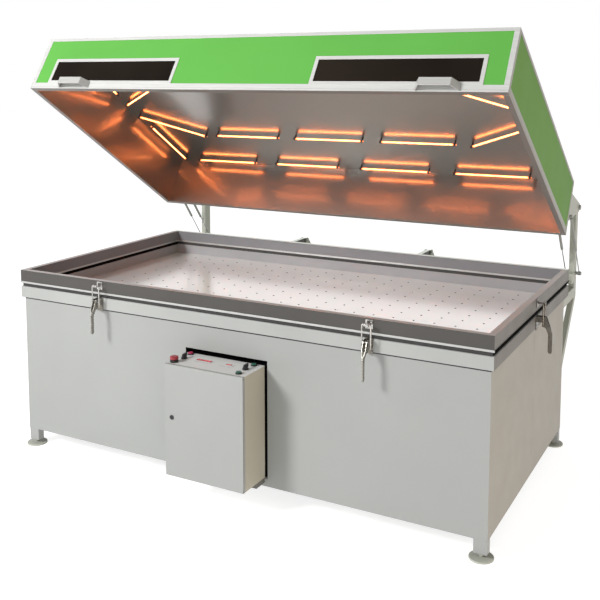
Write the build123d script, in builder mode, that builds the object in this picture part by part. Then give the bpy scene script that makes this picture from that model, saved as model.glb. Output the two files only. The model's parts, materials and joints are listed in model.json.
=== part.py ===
"""Membrane vacuum press with a tilting infrared lid, at real size in millimetres.

X runs to the right of the machine, Y from its front to its back, and Z up.
The origin lies on the floor, in the middle of the whole machine.
"""
import math
import os

from build123d import *

os.makedirs("parts", exist_ok=True)

# Film frame and table, from the top down
frame_length = 2600
frame_depth = 1420
tube_width = 30
tube_height = 60
tube_wall = 3
clamp_strip_height = 10
clamp_strip_reach = 2
gasket_height = 18
gasket_width = 20
gasket_recess = 8
weld_gap = 0.2

# Body under the table
sheet = 1.5
side_seam = 742
seam_gap = 1
body_bottom = 88
body_top = 820
body_inset = 15
body_inset_rear = 35
leg_width = 60
leg_depth = 40
leg_bottom = 25
rail_size = 40
cross_rail_offset = 620
foot_radius = 53.5
foot_thickness = 8
foot_chamfer = 2
stud_radius = 8
stud_length = 60
nut_height = 9
nut_flats = 26

# Suction bed
tray_sheet = 2
tray_depth = 50
tray_inset = 62
rib_thickness = 5
rib_count = 7
plate_thickness = 3
plate_clearance = 0.3
hole_radius = 4
hole_pitch = 106
hole_columns = 21
hole_rows = 12

# Rear stands that carry the lid
stand_inset = 23
stand_width = 30
stand_depth = 60
stand_front = 1680
arm_bottom = 750
arm_height = 60
post_drop = 26
brace_foot = 372
brace_height = 68
brace_lean = 50
beam_size = 60
beam_drop = 49

# Film frame hinge
hinge_offset = 426
hinge_arm_width = 30
hinge_arm_height = 30
hinge_pin_radius = 5
hinge_pin_ahead = 65
hinge_pin_drop = 21
hinge_eye_radius = 13
hinge_ear_thickness = 6
hinge_ear_gap = 0.5

# Lid, given shut: depth from its front face, height from its bottom rim
lid_depth = 1430
lid_height = 318
lid_gap = 4
lid_front_set = 1
lid_open_angle = 32.73
rim_width = 25
rim_height = 35
rim_groove_height = 8
rim_groove = 2
corner_width = 23
top_trim_height = 18
panel_recess = 1
window_near = 383
window_end = 110
window_bottom = 31
window_top = 184
window_trim = 18
window_rebate = 6
window_proud = 1.5
glass_thickness = 4
handle_inset = 303
handle_grip = 143
handle_foot = 202
handle_reach = 48
handle_bottom = 4
handle_height = 38
handle_strap = 5
handle_seat = 7
handle_bend = 2.5
reflector_sheet = 1
reflector_height = 308

# Infrared lamps under the reflector
lamp_length = 440
lamp_radius = 5
lamp_drop = 26
holder_radius = 8
holder_length = 14
holder_post = 5
row_inner_offset = 275
row_outer_offset = 622
row_inner_pitch = 540
row_outer_pitch = 580
side_lamp_inset = 105
side_lamp_middle = 406
corner_near = (462, 293)
corner_far = (108, 78)

# Lid pivot and brackets
pivot_behind = 27
pivot_height = 1269
pivot_radius = 8
pivot_boss_radius = 24
bracket_thickness = 8
bracket_gap = 2
collar_wall = 4
bracket_low = 95
bracket_high = 262
bracket_tip_radius = 25
bracket_stud_edge = (12.5, 21)
bracket_tip_edge = (17, 18)
bolt_head_flats = 24
bolt_head_height = 10

# Gas springs
spring_anchor_drop = 379
spring_pin_radius = 5
spring_stud_behind = 49
spring_stud_above = 133
spring_spread = 38
spring_tube_radius = 7.5
spring_bore = 6
spring_tube_length = 255
spring_rod_radius = 3
spring_rod_inside = 40
spring_exposed_open = 193
spring_eye_radius = 12
spring_eye_width = 14
spring_stud_radius = 7
spring_end_radius = 9

# Toggle latches: out is the distance from the face that a latch is mounted on
latch_offset = 750
latch_pivot_out = 38
latch_pivot_drop = 8.3
latch_throw = 31
latch_over_centre = 8
latch_base_width = 40
latch_base_below = 58.7
latch_base_above = 11.3
latch_base_thickness = 3
ear_inner = 11
ear_thickness = 3
ear_radius = 9
cheek_inner = 7
cheek_thickness = 3
rivet_radius = 4
rivet_reach = 1.5
bail_half_width = 21
bail_radius = 3
bail_above = 41
bail_corner = 7
lever_out = 75
lever_knee_drop = 73.7
lever_tip_drop = 165.7
lever_depth = 20
lever_width = 7
lever_belly = 0.5
lever_neck = 0.88
lever_slot_side = 0.48
lever_slot_end = 0.8
lever_slot_tip = 0.8
lever_boss = 7
keeper_width = 35
keeper_above = 15
keeper_below = 5
keeper_thickness = 3
keeper_drop = 0.7
keeper_hook = 12
keeper_lip = 3.4

# Control cabinet in the front panel
cabinet_half = 215
cabinet_reach = 178
cabinet_back = 95
cabinet_bottom = 131
cabinet_top = 672
cutout_half = 230
cutout_bottom = 125
cutout_top = 695
control_plate = 2
door_depth = 16
door_gap = 2.3
door_margin = 20
door_pivot_in = 4.5
door_pivot_behind = 12
door_pin_radius = 2.5
door_lug = 5
door_lug_inset = 3.5
lug_notch = 1
lock_clear = 1
lock_offset = 176
lock_height = 418
lock_proud = 3
lock_radius = 11
lock_barrel = 8
lock_cam_length = 26
lock_cam_width = 12
lock_slot = 2
support_width = 26
support_reach = 75
support_offset = 200
mounting_plate_inset = 26
mounting_standoff = 6.5
rail_rows = 3
din_width = 35
din_height = 7.5
contactor = (45, 70, 82)
gear_gap = 5
gear_count = 6
breaker_share = 0.8
terminal_share = 0.6

# Controls on the cabinet's top, each as distance right of the middle and behind the table front
estop_place = (-187, -138)
selector_left_place = (-175, -75)
red_button_place = (-185, -8)
green_front_place = (170, -137)
selector_right_place = (166, -73)
green_rear_place = (172, -8)
display_left = (-114, -31, -65, -46)
display_right = (48, 80, -58, -46)
display_proud = 0.6
bezel_radius = 15
bezel_height = 5
button_radius = 12
button_height = 6
button_travel = 3
barrel_radius = 11
barrel_depth = 30
stem_radius = 9
contact_block = (24, 40, 25)
estop_radius = 20
estop_base_height = 10
estop_cap_height = 14
estop_travel = 4
knob_radius = 12
knob_height = 8
knob_grip_width = 8
knob_grip_front = 11
knob_grip_rear = 20
knob_grip_height = 12

# Vacuum pump set on its shelf
pump_middle = (560, 680)
pump_width = 280
pump_depth = 240
pump_height = 230
pump_foot = 20
pump_chamber = 75
pump_rotor_radius = 60
motor_length = 300
motor_radius = 95
motor_wall = 12
motor_rotor_radius = 70
cowl_length = 55
cowl_wall = 2
fan_radius = 82
fan_width = 20
fan_hub = 22
fan_blades = 8
shaft_radius = 14
shelf_width = 900
shelf_thickness = 3
filter_radius = 65
filter_height = 130
valve_width = 90
valve_height = 80
coil_width = 50
pipe_radius = 21
pipe_wall = 3

# Mains cable gland on the rear panel
gland_inset = 385
gland_height = 220
gland_flats = 36
gland_reach = 34
gland_bore = 8
gland_neck = 13

# Clearances
running_fit = 0.05
moving_gap = 0.3

# Derived places
rear_reach = stand_front + stand_depth
front = (cabinet_reach + lock_proud - rear_reach) / 2
half_length = frame_length / 2
table_bottom = body_top + tray_sheet
table_top = table_bottom + tube_height
strip_bottom = table_top + gasket_height
film_bottom = strip_bottom + clamp_strip_height
film_top = film_bottom + tube_height
body_half = half_length - body_inset
body_front = front + body_inset
body_rear = front + frame_depth - body_inset_rear
leg_outer = body_half - sheet
leg_front = body_front + sheet
leg_rear = body_rear - sheet
bed_half = half_length - tube_width
bed_front = front + tube_width
bed_rear = front + frame_depth - tube_width
stand_outer = half_length - stand_inset
stand_inner = stand_outer - stand_width
stand_middle = (stand_inner + stand_outer) / 2
spring_inner = stand_middle - spring_spread
spring_outer = stand_middle + spring_spread
window_far = half_length - window_end
handle_offset = half_length - handle_inset
side_lamp_offset = half_length - side_lamp_inset
gland_offset = gland_inset - body_half
lid_bottom = film_top + lid_gap
lid_top = lid_bottom + lid_height
lid_front = front - lid_front_set
lid_rear = lid_front + lid_depth
pivot = (front + stand_front + pivot_behind, pivot_height)
post_top = pivot_height - post_drop
spring_anchor_height = pivot_height - spring_anchor_drop
hinge_pin_height = film_top - hinge_pin_drop
beam_top = hinge_pin_height - beam_drop
latch_pivot_height = table_top - latch_pivot_drop
lid_axis = Axis((0, pivot[0], pivot[1]), (1, 0, 0))
lid_opening = (-1) * lid_open_angle


# Helpers for straight pieces
def sided(side, near, far):
    """The span between two distances from the middle, on the left (-1) or the right (1)."""
    return (near, far) if side > 0 else (-far, -near)


def bar(x, y, z, mode=Mode.ADD):
    """A box between two values along each axis."""
    with Locations(((x[0] + x[1]) / 2, (y[0] + y[1]) / 2, (z[0] + z[1]) / 2)):
        Box(x[1] - x[0], y[1] - y[0], z[1] - z[0], mode=mode)


def hollow(x, y, z, wall=tube_wall):
    """A box section with closed ends and an even wall."""
    bar(x, y, z)
    spans = [(low + wall, high - wall) for low, high in (x, y, z)]
    bar(*spans, mode=Mode.SUBTRACT)


def frame_ring(x, y, z, width, make=hollow):
    """Four lengths round a rectangle: front and rear run through, and the sides butt on them."""
    make(x, (y[0], y[0] + width), z)
    make(x, (y[1] - width, y[1]), z)
    between = (y[0] + width + weld_gap, y[1] - width - weld_gap)
    make((x[0], x[0] + width), between, z)
    make((x[1] - width, x[1]), between, z)


def rod(start, end, radius, mode=Mode.ADD):
    """A round bar between two points."""
    run = Vector(end) - Vector(start)
    with Locations(Plane(origin=start, z_dir=run)):
        Cylinder(radius, run.length, align=(Align.CENTER, Align.CENTER, Align.MIN), mode=mode)


def cross_rod(x, y, z, radius, mode=Mode.ADD):
    """A round bar along X."""
    rod((x[0], y, z), (x[1], y, z), radius, mode)


def upright(x, y, z, radius, mode=Mode.ADD):
    """A round bar along Z."""
    rod((x, y, z[0]), (x, y, z[1]), radius, mode)


def prism(plane, points, amount, mode=Mode.ADD):
    """A straight-edged outline on a plane, given a thickness along the plane's normal."""
    with BuildSketch(plane) as outline:
        with BuildLine():
            Polyline(*points, close=True)
        make_face()
    extrude(outline.sketch, amount=amount, mode=mode)


def hexagon(centre, direction, flats, height, mode=Mode.ADD):
    """A hexagonal bar that starts at a point and runs along a direction."""
    with BuildSketch(Plane(origin=centre, z_dir=direction)) as outline:
        RegularPolygon(flats / 2, 6, major_radius=False)
    extrude(outline.sketch, amount=height, mode=mode)


def write(piece, name):
    """Name a finished piece and write it."""
    piece.label = name
    export_step(piece, f"parts/{name}.step")


def write_lid_piece(piece, name):
    """A lid piece is modelled with the lid shut, then swung up to where the lid rests open."""
    write(piece.rotate(lid_axis, lid_opening), name)


# Legs, rails and feet
foot_x = leg_outer - leg_width / 2
foot_places = [
    (side * foot_x, y)
    for side in (-1, 1)
    for y in (leg_front + leg_depth / 2, leg_rear - leg_depth / 2)
]

with BuildPart() as legs:
    for side in (-1, 1):
        for y in ((leg_front, leg_front + leg_depth), (leg_rear - leg_depth, leg_rear)):
            hollow(sided(side, leg_outer - leg_width, leg_outer), y, (leg_bottom, body_top))
    for x, y in foot_places:
        upright(x, y, (leg_bottom, leg_bottom + tube_wall), stud_radius, Mode.SUBTRACT)
legs.part.label = "legs"
export_step(legs.part, "parts/legs.step")

with BuildPart() as lower_rails:
    rail_z = (body_bottom, body_bottom + rail_size)
    rail_half = leg_outer - leg_width - weld_gap
    rail_front = (leg_front, leg_front + rail_size)
    rail_rear = (leg_rear - rail_size, leg_rear)
    hollow((-rail_half, rail_half), rail_front, rail_z)
    hollow((-rail_half, rail_half), rail_rear, rail_z)
    side_run = (rail_front[1] + weld_gap, rail_rear[0] - weld_gap)
    for side in (-1, 1):
        hollow(sided(side, leg_outer - rail_size, leg_outer), side_run, rail_z)
    for x in (-cross_rail_offset, 0, cross_rail_offset):
        hollow((x - rail_size / 2, x + rail_size / 2), side_run, rail_z)
lower_rails.part.label = "lower_rails"
export_step(lower_rails.part, "parts/lower_rails.step")

with BuildPart() as leveling_feet:
    for x, y in foot_places:
        with Locations((x, y, foot_thickness / 2)):
            Cylinder(foot_radius, foot_thickness)
        upright(x, y, (0, stud_length), stud_radius)
    rim_edges = leveling_feet.edges().filter_by(GeomType.CIRCLE).filter_by_position(
        Axis.Z, foot_thickness - 0.1, foot_thickness + 0.1
    )
    chamfer([edge for edge in rim_edges if edge.radius > stud_radius * 2], foot_chamfer)
    # A lock nut on each stud, up against the leg
    for x, y in foot_places:
        nut_z = (leg_bottom - nut_height, leg_bottom)
        upright(x, y, nut_z, stud_radius + running_fit, Mode.SUBTRACT)
        hexagon((x, y, nut_z[0]), (0, 0, 1), nut_flats, nut_height)
        upright(x, y, nut_z, stud_radius + running_fit, Mode.SUBTRACT)
        upright(x, y, nut_z, stud_radius)
leveling_feet.part.label = "leveling_feet"
export_step(leveling_feet.part, "parts/leveling_feet.step")

# Body panels
with BuildPart() as front_panel:
    bar((-body_half, body_half), (body_front, leg_front), (body_bottom, body_top))
    bar((-cutout_half, cutout_half), (body_front, leg_front), (cutout_bottom, cutout_top), Mode.SUBTRACT)
front_panel.part.label = "front_panel"
export_step(front_panel.part, "parts/front_panel.step")

with BuildPart() as side_panels:
    # Two sheets on each side, with a seam between them
    seam = front + side_seam
    for side in (-1, 1):
        for y in ((leg_front, seam - seam_gap / 2), (seam + seam_gap / 2, leg_rear)):
            bar(sided(side, leg_outer, body_half), y, (body_bottom, body_top))
side_panels.part.label = "side_panels"
export_step(side_panels.part, "parts/side_panels.step")

with BuildPart() as rear_panel:
    bar((-body_half, body_half), (leg_rear, body_rear), (body_bottom, body_top))
    rod((gland_offset, leg_rear, gland_height), (gland_offset, body_rear, gland_height), gland_neck,
        Mode.SUBTRACT)
rear_panel.part.label = "rear_panel"
export_step(rear_panel.part, "parts/rear_panel.step")

with BuildPart() as mains_gland:
    gland_inside = leg_rear - gland_reach / 2
    hexagon((gland_offset, body_rear, gland_height), (0, 1, 0), gland_flats, gland_reach / 2)
    rod((gland_offset, body_rear, gland_height),
        (gland_offset, body_rear + gland_reach, gland_height), gland_neck)
    rod((gland_offset, gland_inside, gland_height), (gland_offset, body_rear, gland_height), gland_neck)
    hexagon((gland_offset, gland_inside, gland_height), (0, 1, 0), gland_flats, gland_reach / 2)
    rod((gland_offset, gland_inside, gland_height),
        (gland_offset, body_rear + gland_reach, gland_height), gland_bore, Mode.SUBTRACT)
mains_gland.part.label = "mains_gland"
export_step(mains_gland.part, "parts/mains_gland.step")

# Table, suction bed and film frame
ring_x = (-half_length, half_length)
ring_y = (front, front + frame_depth)

with BuildPart() as table_frame:
    frame_ring(ring_x, ring_y, (table_bottom, table_top), tube_width)
table_frame.part.label = "table_frame"
export_step(table_frame.part, "parts/table_frame.step")

tray_x = half_length - tube_width - tray_inset + tray_sheet
tray_front = bed_front + tray_inset - tray_sheet - body_inset
tray_rear = bed_rear - tray_inset + tray_sheet
tray_floor = table_bottom - tray_depth

with BuildPart() as vacuum_tray:
    bar((-body_half, body_half), (body_front, body_rear), (body_top, table_bottom))
    bar((-tray_x, tray_x), (tray_front, tray_rear), (tray_floor, body_top))
    bar((-tray_x + tray_sheet, tray_x - tray_sheet), (tray_front + tray_sheet, tray_rear - tray_sheet),
        (tray_floor + tray_sheet, table_bottom), Mode.SUBTRACT)
    # Ribs welded to the tray floor carry the plate, with gaps between them for the air
    rib_pitch = 2 * tray_x / (rib_count + 1)
    rib_end = (tray_rear - tray_front) / 2 - hole_pitch
    rib_middle = (tray_front + tray_rear) / 2
    for index in range(rib_count):
        x = -tray_x + rib_pitch * (index + 1)
        bar((x - rib_thickness / 2, x + rib_thickness / 2), (rib_middle - rib_end, rib_middle + rib_end),
            (tray_floor + tray_sheet, table_bottom))
    upright(pump_middle[0], front + pump_middle[1], (tray_floor, tray_floor + tray_sheet),
            pipe_radius - pipe_wall, Mode.SUBTRACT)
vacuum_tray.part.label = "vacuum_tray"
export_step(vacuum_tray.part, "parts/vacuum_tray.step")

with BuildPart() as perforated_plate:
    plate_x = bed_half - plate_clearance
    plate_y = (bed_front + plate_clearance, bed_rear - plate_clearance)
    bar((-plate_x, plate_x), plate_y, (table_bottom, table_bottom + plate_thickness))
    with BuildSketch(Plane.XY.offset(table_bottom)):
        with Locations((0, (bed_front + bed_rear) / 2)):
            with GridLocations(hole_pitch, hole_pitch, hole_columns, hole_rows):
                Circle(hole_radius)
    extrude(amount=plate_thickness, mode=Mode.SUBTRACT)
perforated_plate.part.label = "perforated_plate"
export_step(perforated_plate.part, "parts/perforated_plate.step")

with BuildPart() as table_gasket:
    frame_ring((-half_length + gasket_recess, half_length - gasket_recess),
               (front + gasket_recess, front + frame_depth - gasket_recess),
               (table_top, strip_bottom), gasket_width, bar)
table_gasket.part.label = "table_gasket"
export_step(table_gasket.part, "parts/table_gasket.step")

with BuildPart() as film_clamp_strip:
    frame_ring((-half_length - clamp_strip_reach, half_length + clamp_strip_reach),
               (front - clamp_strip_reach, front + frame_depth + clamp_strip_reach),
               (strip_bottom, film_bottom), tube_width + clamp_strip_reach, bar)
film_clamp_strip.part.label = "film_clamp_strip"
export_step(film_clamp_strip.part, "parts/film_clamp_strip.step")

# Film frame with its two hinge arms; the ears stand on the rear beam
hinge_y = front + stand_front - hinge_pin_ahead
hinge_arm_top = hinge_pin_height + hinge_eye_radius
beam_y = (front + stand_front - beam_size, front + stand_front)

with BuildPart() as film_frame:
    frame_ring(ring_x, ring_y, (film_bottom, film_top), tube_width)
    for side in (-1, 1):
        arm_x = sided(side, hinge_offset - hinge_arm_width / 2, hinge_offset + hinge_arm_width / 2)
        bar(arm_x, (front + frame_depth + weld_gap, hinge_y),
            (hinge_arm_top - hinge_arm_height, hinge_arm_top))
        cross_rod(arm_x, hinge_y, hinge_pin_height, hinge_eye_radius)
        cross_rod(arm_x, hinge_y, hinge_pin_height, hinge_pin_radius + running_fit, Mode.SUBTRACT)
film_frame.part.label = "film_frame"
export_step(film_frame.part, "parts/film_frame.step")

ear_near = hinge_offset - hinge_arm_width / 2 - hinge_ear_gap - hinge_ear_thickness
ear_far = hinge_offset + hinge_arm_width / 2 + hinge_ear_gap

with BuildPart() as rear_beam:
    hollow((-stand_outer, stand_outer), beam_y, (beam_top - beam_size, beam_top))
    for side in (-1, 1):
        for near in (ear_near, ear_far):
            ear_x = sided(side, near, near + hinge_ear_thickness)
            outline = [
                (beam_y[0], beam_top + weld_gap),
                (beam_y[1], beam_top + weld_gap),
                (hinge_y + hinge_eye_radius, hinge_arm_top),
                (hinge_y - hinge_eye_radius, hinge_arm_top),
                (hinge_y - hinge_eye_radius, hinge_pin_height - hinge_eye_radius),
            ]
            prism(Plane.YZ.offset(ear_x[0]), outline, hinge_ear_thickness)
            cross_rod(ear_x, hinge_y, hinge_pin_height, hinge_pin_radius, Mode.SUBTRACT)
rear_beam.part.label = "rear_beam"
export_step(rear_beam.part, "parts/rear_beam.step")

# Rear stands: an arm from the body, a post with the lid's pivot at its top, and a brace
post_y = (front + stand_front, front + stand_front + stand_depth)
boss_width = stand_width + 2 * (bracket_gap - moving_gap)

with BuildPart() as rear_stands:
    for side in (-1, 1):
        stand_x = sided(side, stand_inner, stand_outer)
        hollow(stand_x, (body_rear, post_y[0] - weld_gap), (arm_bottom, arm_bottom + arm_height))
        hollow(stand_x, post_y, (arm_bottom, post_top))
        boss_x = (side * stand_middle - boss_width / 2, side * stand_middle + boss_width / 2)
        bar(boss_x, (pivot[0] - pivot_boss_radius, pivot[0] + pivot_boss_radius), (post_top, pivot[1]))
        cross_rod(boss_x, *pivot, pivot_boss_radius)
        cross_rod(boss_x, *pivot, pivot_radius, Mode.SUBTRACT)
        cross_rod(stand_x, pivot[0], spring_anchor_height, spring_pin_radius, Mode.SUBTRACT)
        outline = [
            (body_rear, brace_foot),
            (body_rear, brace_foot + brace_height),
            (post_y[1] - brace_lean, arm_bottom - weld_gap),
            (post_y[1], arm_bottom - weld_gap),
        ]
        prism(Plane.YZ.offset(stand_x[0]), outline, stand_width)
rear_stands.part.label = "rear_stands"
export_step(rear_stands.part, "parts/rear_stands.step")

# Lid frame and skins, modelled shut
lid_x = (-half_length, half_length)
lid_y = (lid_front, lid_rear)
groove_z = (lid_bottom + rim_groove_height, lid_bottom + rim_groove_height + rim_groove)
corner_bottom = lid_bottom + rim_height + weld_gap
corner_top = lid_top - top_trim_height - weld_gap

with BuildPart() as lid_frame:
    frame_ring(lid_x, lid_y, (lid_bottom, lid_bottom + rim_height), rim_width)
    for x, y in (
        (lid_x, (lid_front, lid_front + rim_groove / 2)),
        (lid_x, (lid_rear - rim_groove / 2, lid_rear)),
        ((lid_x[0], lid_x[0] + rim_groove / 2), lid_y),
        ((lid_x[1] - rim_groove / 2, lid_x[1]), lid_y),
    ):
        bar(x, y, groove_z, Mode.SUBTRACT)
    for side in (-1, 1):
        for y in ((lid_front, lid_front + corner_width), (lid_rear - corner_width, lid_rear)):
            hollow(sided(side, half_length - corner_width, half_length), y, (corner_bottom, corner_top))
    frame_ring(lid_x, lid_y, (lid_top - top_trim_height, lid_top), corner_width)
write_lid_piece(lid_frame.part, "lid_frame")

skin_z = (lid_bottom + rim_height, lid_top - top_trim_height)
skin_x = (-half_length + corner_width, half_length - corner_width)
skin_y = (lid_front + corner_width, lid_rear - corner_width)
front_skin = (lid_front + panel_recess, lid_front + panel_recess + sheet)
glass_inset = window_trim - window_rebate
window_z = (lid_bottom + window_bottom, lid_bottom + window_top)
glass_z = (window_z[0] + glass_inset, window_z[1] - glass_inset)

with BuildPart() as lid_panels:
    bar(skin_x, front_skin, skin_z)
    for side in (-1, 1):
        glass_x = sided(side, window_near + glass_inset, window_far - glass_inset)
        bar(glass_x, front_skin, glass_z, Mode.SUBTRACT)
    for side in (-1, 1):
        bar(sided(side, half_length - panel_recess - sheet, half_length - panel_recess), skin_y, skin_z)
    bar(skin_x, (lid_rear - panel_recess - sheet, lid_rear - panel_recess), skin_z)
    top_edge = lid_top - panel_recess
    bar(skin_x, skin_y, (top_edge - sheet, top_edge))
write_lid_piece(lid_panels.part, "lid_panels")

with BuildPart() as window_frames:
    for side in (-1, 1):
        outer_x = sided(side, window_near, window_far)
        clear_x = sided(side, window_near + window_trim, window_far - window_trim)
        clear_z = (window_z[0] + window_trim, window_z[1] - window_trim)
        bar(outer_x, (lid_front - window_proud, front_skin[0]), window_z)
        bar(clear_x, (lid_front - window_proud, front_skin[0]), clear_z, Mode.SUBTRACT)
        bar(outer_x, (lid_front, front_skin[0]), (lid_bottom, skin_z[0]), Mode.SUBTRACT)
write_lid_piece(window_frames.part, "window_frames")

with BuildPart() as window_glass:
    for side in (-1, 1):
        glass_x = sided(side, window_near + glass_inset, window_far - glass_inset)
        bar(glass_x, (front_skin[0], front_skin[0] + glass_thickness), glass_z)
write_lid_piece(window_glass.part, "window_glass")

with BuildPart() as lid_handles:
    for side in (-1, 1):
        middle = side * handle_offset
        grip_y = lid_front - handle_reach
        seat_y = lid_front - window_proud
        outline = [
            (middle - handle_foot / 2, seat_y),
            (middle - handle_grip / 2, grip_y),
            (middle + handle_grip / 2, grip_y),
            (middle + handle_foot / 2, seat_y),
        ]
        inner = [
            (middle - handle_foot / 2 + handle_seat, seat_y),
            (middle - handle_grip / 2 + handle_bend, grip_y + handle_strap),
            (middle + handle_grip / 2 - handle_bend, grip_y + handle_strap),
            (middle + handle_foot / 2 - handle_seat, seat_y),
        ]
        strap_plane = Plane.XY.offset(lid_bottom + handle_bottom)
        prism(strap_plane, outline, handle_height)
        prism(strap_plane, inner, handle_height, Mode.SUBTRACT)
write_lid_piece(lid_handles.part, "lid_handles")

# Reflector box inside the lid: a top sheet and four walls
liner_x = half_length - rim_width
liner_y = (lid_front + rim_width, lid_rear - rim_width)
liner_top = lid_bottom + reflector_height

with BuildPart() as lid_reflectors:
    bar((-liner_x, liner_x), liner_y, (liner_top, liner_top + reflector_sheet))
    wall_z = (lid_bottom, liner_top - weld_gap)
    inner_run = (liner_y[0] + reflector_sheet + weld_gap, liner_y[1] - reflector_sheet - weld_gap)
    for side in (-1, 1):
        bar(sided(side, liner_x - reflector_sheet, liner_x), inner_run, wall_z)
    bar((-liner_x, liner_x), (liner_y[0], liner_y[0] + reflector_sheet), wall_z)
    bar((-liner_x, liner_x), (liner_y[1] - reflector_sheet, liner_y[1]), wall_z)
    for side in (-1, 1):
        glass_x = sided(side, window_near + glass_inset, window_far - glass_inset)
        bar(glass_x, (liner_y[0], liner_y[0] + reflector_sheet), glass_z, Mode.SUBTRACT)
write_lid_piece(lid_reflectors.part, "lid_reflectors")

# Lamps: two rows at the front and two at the back, three at each end in a fan
lid_middle = (lid_front + lid_rear) / 2
lamp_z = liner_top - lamp_drop
lamp_ends = []
for half in (-1, 1):
    inner_y = lid_middle + half * row_inner_offset
    outer_y = lid_middle + half * row_outer_offset
    inner_row = [(x, inner_y) for x in (-row_inner_pitch, 0, row_inner_pitch)]
    outer_row = [((place - 1.5) * row_outer_pitch, outer_y) for place in range(4)]
    for x, y in inner_row + outer_row:
        lamp_ends.append(((x - lamp_length / 2, y), (x + lamp_length / 2, y)))
    for side in (-1, 1):
        side_y = lid_middle + half * side_lamp_middle
        side_x = side * side_lamp_offset
        lamp_ends.append(((side_x, side_y - lamp_length / 2), (side_x, side_y + lamp_length / 2)))
        near = Vector(side * (half_length - corner_near[0]), lid_middle + half * corner_near[1])
        far = Vector(side * (half_length - corner_far[0]), lid_middle + half * corner_far[1])
        run = (far - near).normalized() * lamp_length
        lamp_ends.append(((near.X, near.Y), (near.X + run.X, near.Y + run.Y)))

with BuildPart() as lamp_tubes:
    for start, end in lamp_ends:
        rod((*start, lamp_z), (*end, lamp_z), lamp_radius)
write_lid_piece(lamp_tubes.part, "lamp_tubes")

# One holder: a clip round the end of a tube, on a post up to the reflector
with BuildPart() as holder:
    cross_rod((0, holder_length), 0, 0, holder_radius)
    upright(holder_length / 2, 0, (0, lamp_drop), holder_post)
    cross_rod((0, holder_length), 0, 0, lamp_radius, Mode.SUBTRACT)

holder_places = []
for start, end in lamp_ends:
    run = Vector(*end) - Vector(*start)
    holder_places.append(Plane(origin=(*start, lamp_z), x_dir=run, z_dir=(0, 0, 1)))
    holder_places.append(Plane(origin=(*end, lamp_z), x_dir=run * -1, z_dir=(0, 0, 1)))

with BuildPart() as lamp_holders:
    with Locations(*holder_places):
        add(holder.part)
write_lid_piece(lamp_holders.part, "lamp_holders")

# Lid brackets with the studs for the gas springs
stud_y = lid_rear + spring_stud_behind
stud_z = lid_bottom + spring_stud_above
eye_half = spring_eye_width / 2
bracket_planes = [
    (stand_inner - bracket_gap - bracket_thickness, stand_inner - bracket_gap),
    (stand_outer + bracket_gap, stand_outer + bracket_gap + bracket_thickness),
]

with BuildPart() as lid_brackets:
    for side in (-1, 1):
        for (near, far), seat_y in zip(bracket_planes, (lid_rear - panel_recess, lid_rear)):
            plate_x = sided(side, near, far)
            outline = [
                (seat_y, lid_bottom + bracket_low),
                (stud_y + bracket_stud_edge[0], stud_z - bracket_stud_edge[1]),
                (pivot[0] + bracket_tip_edge[0], pivot[1] - bracket_tip_edge[1]),
                (pivot[0], pivot[1] + bracket_tip_radius),
                (seat_y, lid_bottom + bracket_high),
            ]
            prism(Plane.YZ.offset(plate_x[0]), outline, bracket_thickness)
            cross_rod(plate_x, *pivot, bracket_tip_radius)
            cross_rod(plate_x, *pivot, pivot_radius + running_fit, Mode.SUBTRACT)
        outer_stud = sided(side, bracket_planes[1][1], spring_outer - eye_half - moving_gap)
        inner_stud = sided(side, spring_inner + eye_half + moving_gap, bracket_planes[0][0])
        cross_rod(outer_stud, stud_y, stud_z, spring_stud_radius)
        cross_rod(inner_stud, stud_y, stud_z, spring_stud_radius)
write_lid_piece(lid_brackets.part, "lid_brackets")

# Gas springs: rods hang on pins through the posts, tubes slide on them towards the lid's studs
anchor = Vector(0, pivot[0], spring_anchor_height)
turn = math.radians(lid_open_angle)
arm_out = stud_y - pivot[0]
arm_up = stud_z - pivot[1]
stud_open = Vector(
    0,
    pivot[0] + arm_out * math.cos(turn) + arm_up * math.sin(turn),
    pivot[1] - arm_out * math.sin(turn) + arm_up * math.cos(turn),
)
stud_shut = Vector(0, stud_y, stud_z)
spring_run = (stud_open - anchor).normalized()
spring_open = (stud_open - anchor).length
spring_shut = (stud_shut - anchor).length
rod_turn = (stud_shut - anchor).get_angle(stud_open - anchor)
piston_at = spring_exposed_open + spring_rod_inside
tube_start = spring_exposed_open


def on_spring(x, distance):
    """A point at a distance from the anchor, along a gas spring that lies in the plane of x."""
    point = anchor + spring_run * distance
    return (x, point.Y, point.Z)


spring_planes = (spring_inner, spring_outer)
for side, name in ((-1, "left"), (1, "right")):
    with BuildPart() as spring_rods:
        for plane_x in spring_planes:
            x = side * plane_x
            eye_x = (x - eye_half, x + eye_half)
            rod(on_spring(x, 0), on_spring(x, piston_at), spring_rod_radius)
            rod(on_spring(x, piston_at - spring_bore), on_spring(x, piston_at),
                spring_bore - running_fit)
            cross_rod(eye_x, anchor.Y, anchor.Z, spring_eye_radius)
            cross_rod(eye_x, anchor.Y, anchor.Z, spring_pin_radius + running_fit, Mode.SUBTRACT)
    write(spring_rods.part, f"spring_rods_{name}")

    with BuildPart() as spring_tubes:
        tube_end = tube_start + spring_tube_length
        for plane_x in spring_planes:
            x = side * plane_x
            eye_x = (x - eye_half, x + eye_half)
            rod(on_spring(x, tube_start), on_spring(x, tube_end), spring_tube_radius)
            rod(on_spring(x, tube_start + tube_wall), on_spring(x, tube_end - tube_wall),
                spring_bore, Mode.SUBTRACT)
            rod(on_spring(x, tube_start), on_spring(x, tube_start + tube_wall),
                spring_rod_radius + running_fit, Mode.SUBTRACT)
            rod(on_spring(x, tube_end), on_spring(x, spring_open), spring_rod_radius)
            cross_rod(eye_x, stud_open.Y, stud_open.Z, spring_end_radius)
    write(spring_tubes.part, f"spring_tubes_{name}")

# Pivot pins: lid bolts, spring pins with their collars, and film frame pins
collar_radius = spring_pin_radius + collar_wall

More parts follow.
